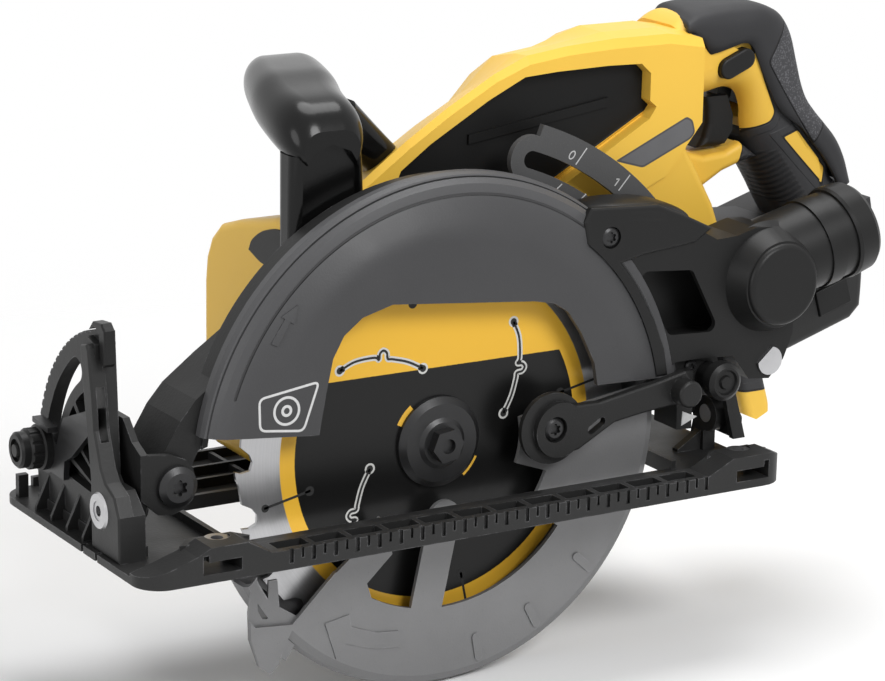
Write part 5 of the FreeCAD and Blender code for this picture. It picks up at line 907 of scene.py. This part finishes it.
class SAW_OT_chute_cover(bpy.types.Operator):
    """Rounded cover along the top of the chute's bridge"""
    bl_idname = "saw.chute_cover"
    bl_label = "Make the chute's cover"

    def execute(self, context):
        line = np.array([(64.5, -2.8, 118.6), (84.0, -2.8, 118.2),
                         (102.0, -2.8, 116.0), (120.5, -2.8, 110.6)])
        half = np.array([(11.6, 5.4), (12.1, 5.8), (12.1, 5.8), (11.0, 5.0)])
        shape = rounded_bar(line, half, 60, 40, 3.2)
        plastic = moulded_plastic("cover_moulding", context.scene.saw_colours.black, 0.40)
        make_piece("chute_cover", shape, plastic, "saw_body", smooth=True)
        return {"FINISHED"}


def rounded_bar(line, half, along, around, power):
    """Bar with a superellipse section carried along a line, drawn in to a rounded tip at each end.

    The section is half-width times the signed power of cosine across Y and half-height times that of sine up
    Z; both shrink near the ends as the root of one minus the sixth power of the place along the bar, from -1
    to 1, never quite to nothing."""
    place = np.linspace(-1.0, 1.0, along)
    middle = np.column_stack([smooth_line(line[:, [0, k]], along)[:, 1] for k in (1, 2)])
    x = smooth_line(line[:, [0, 1]], along)[:, 0]
    size = smooth_line(half, along) * np.sqrt(np.maximum(1.0 - np.abs(place) ** 6, 0.02))[:, None]
    t = np.linspace(0.0, 2.0 * math.pi, around, endpoint=False)
    across = np.sign(np.cos(t)) * np.abs(np.cos(t)) ** (2.0 / power)
    up = np.sign(np.sin(t)) * np.abs(np.sin(t)) ** (2.0 / power)
    y = middle[:, :1] + size[:, :1] * across[None, :]
    z = middle[:, 1:] + size[:, 1:] * up[None, :]
    points = np.dstack([np.repeat(x[:, None], around, 1), y, z]).reshape(-1, 3)
    return points, tube_faces(along, around)


class SAW_OT_pointer(bpy.types.Operator):
    """Small bright arrow plate beside the depth lever"""
    bl_idname = "saw.pointer"
    bl_label = "Make the pointer"

    def execute(self, context):
        plate = printed_mark("pointer_plate", POINTER_METAL, 0.35)
        upper = bezier([(115.2, 28.5), (119.5, 26.6), (123.2, 25.1)], 6)
        lower = bezier([(123.2, 25.1), (119.0, 23.4), (114.8, 21.9)], 6)
        outline = np.vstack([upper, lower[1:]])
        shape = lozenge(outline, POINTER_FRONT_Y, POINTER_BACK_Y, 0.2)
        make_piece("depth_pointer_plate", shape, plate, "saw_body")
        return {"FINISHED"}


class SAW_OT_stage(bpy.types.Operator):
    """Floor, soft lamps, white surround and camera"""
    bl_idname = "saw.stage"
    bl_label = "Set the stage"

    def execute(self, context):
        stage = context.scene.saw_stage
        make_floor(stage)
        make_lamps(stage)
        make_surround(context.scene, stage)
        make_camera(context.scene, stage)
        context.scene.view_settings.view_transform = "Standard"
        return {"FINISHED"}


def make_floor(stage):
    """Flat round plate just under the saw: rings of points at even radii and angles."""
    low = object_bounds()[0].z / MM - FLOOR_GAP
    radii = np.linspace(150.0, 3600.0, 10)
    a = np.radians(np.arange(0.0, 360.0, 7.5))
    x = FLOOR_MIDDLE[0] + np.outer(radii, np.cos(a))
    y = FLOOR_MIDDLE[1] + np.outer(radii, np.sin(a))
    points = np.column_stack([x.ravel(), y.ravel(), np.full(x.size, low)])
    count = len(a)
    faces = tube_faces(len(radii), count)[:-2]
    faces.append(list(range(count)))
    mesh = bpy.data.meshes.new("studio_floor")
    mesh.from_pydata((points * MM).tolist(), [], faces)
    turn_outward(mesh)
    if mesh.polygons[0].normal.z < 0.0:
        mesh.flip_normals()
    floor = bpy.data.objects.new("studio_floor", mesh)
    mesh.materials.append(studio_floor("floor_paint", stage.floor, *FLOOR_FADE))
    bpy.context.scene.collection.objects.link(floor)
    floor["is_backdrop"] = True


def make_lamps(stage):
    """Large soft lamps: a key over the blade side, a fill from the front end and one overhead."""
    aim = Vector((0.03, 0.02, 0.06))
    for name, place, size, power in (("key_lamp", (0.25, -1.40, 1.15), 0.8, stage.key),
                                     ("fill_lamp", (-1.60, -0.35, 0.55), 1.0, stage.fill),
                                     ("top_lamp", (0.35, 0.30, 1.65), 1.2, stage.top)):
        data = bpy.data.lights.new(name, "AREA")
        data.shape = "DISK"
        data.size = size
        data.energy = power
        lamp = bpy.data.objects.new(name, data)
        lamp.location = place
        lamp.rotation_euler = (aim - Vector(place)).to_track_quat("-Z", "Y").to_euler()
        bpy.context.scene.collection.objects.link(lamp)


def make_surround(scene, stage):
    """White surround: full white where it is seen, seen through or reflected, dimmer as a light."""
    world = bpy.data.worlds.new("surround")
    world.use_nodes = True
    tree = world.node_tree
    tree.nodes.clear()
    rays = add_node(tree, "ShaderNodeLightPath").outputs
    seen = rays["Is Camera Ray"]
    for kind in ("Is Transmission Ray", "Is Glossy Ray"):
        seen = add_node(tree, "ShaderNodeMath", {0: seen, 1: rays[kind]}, operation="MAXIMUM").outputs[0]
    level = add_node(tree, "ShaderNodeMapRange", {0: seen, 3: stage.sky, 4: 1.0}).outputs[0]
    back = add_node(tree, "ShaderNodeBackground", {0: (1.0, 1.0, 1.0, 1.0), 1: level}).outputs[0]
    add_node(tree, "ShaderNodeOutputWorld", {0: back})
    scene.world = world


def make_camera(scene, stage):
    """Camera from its azimuth, elevation and roll, placed by its offset along its own axes."""
    a, e, roll = stage.azimuth, stage.elevation, stage.roll
    right = Vector((math.cos(a), math.sin(a), 0.0))
    back = Vector((math.sin(a) * math.cos(e), -math.cos(a) * math.cos(e), math.sin(e)))
    up = back.cross(right)
    right, up = (right * math.cos(roll) + up * math.sin(roll),
                 up * math.cos(roll) - right * math.sin(roll))
    place = right * stage.offset[0] + up * stage.offset[1] + back * stage.offset[2]
    data = bpy.data.cameras.new("camera")
    data.lens = stage.lens
    camera = bpy.data.objects.new("camera", data)
    turn = Matrix((right, up, back)).transposed().to_4x4()
    camera.matrix_world = Matrix.Translation(place) @ turn
    scene.collection.objects.link(camera)
    scene.camera = camera


OPERATORS = (SAW_OT_castings, SAW_OT_mouldings, SAW_OT_metals, SAW_OT_blade_marks, SAW_OT_guard_marks,
             SAW_OT_grip_cap, SAW_OT_front_insert, SAW_OT_chute_cover, SAW_OT_depth_scale, SAW_OT_pointer,
             SAW_OT_stage)


class SAW_PT_saw(bpy.types.Panel):
    """Lists the saw's steps and settings"""
    bl_idname = "SAW_PT_saw"
    bl_label = "Circular saw"
    bl_space_type = "VIEW_3D"
    bl_region_type = "UI"
    bl_category = "Saw"

    def draw(self, context):
        for group in (context.scene.saw_colours, context.scene.saw_sizes, context.scene.saw_stage):
            box = self.layout.box()
            for key in group.bl_rna.properties.keys():
                if key not in ("rna_type", "name"):
                    box.prop(group, key)
        for step in OPERATORS:
            self.layout.operator(step.bl_idname)


CLASSES = (SawColours, SawSizes, SawStage, *OPERATORS, SAW_PT_saw)


def register():
    """Adds the classes and puts the settings on the scene."""
    for kind in CLASSES:
        bpy.utils.register_class(kind)
    bpy.types.Scene.saw_colours = bpy.props.PointerProperty(type=SawColours)
    bpy.types.Scene.saw_sizes = bpy.props.PointerProperty(type=SawSizes)
    bpy.types.Scene.saw_stage = bpy.props.PointerProperty(type=SawStage)


def unregister():
    """Takes the settings and classes away again."""
    del bpy.types.Scene.saw_stage
    del bpy.types.Scene.saw_sizes
    del bpy.types.Scene.saw_colours
    for kind in reversed(CLASSES):
        bpy.utils.unregister_class(kind)


def main():
    """Registers the add-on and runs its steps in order."""
    register()
    for step in OPERATORS:
        group, name = step.bl_idname.split(".")
        getattr(getattr(bpy.ops, group), name)()


if __name__ == "__main__":
    main()
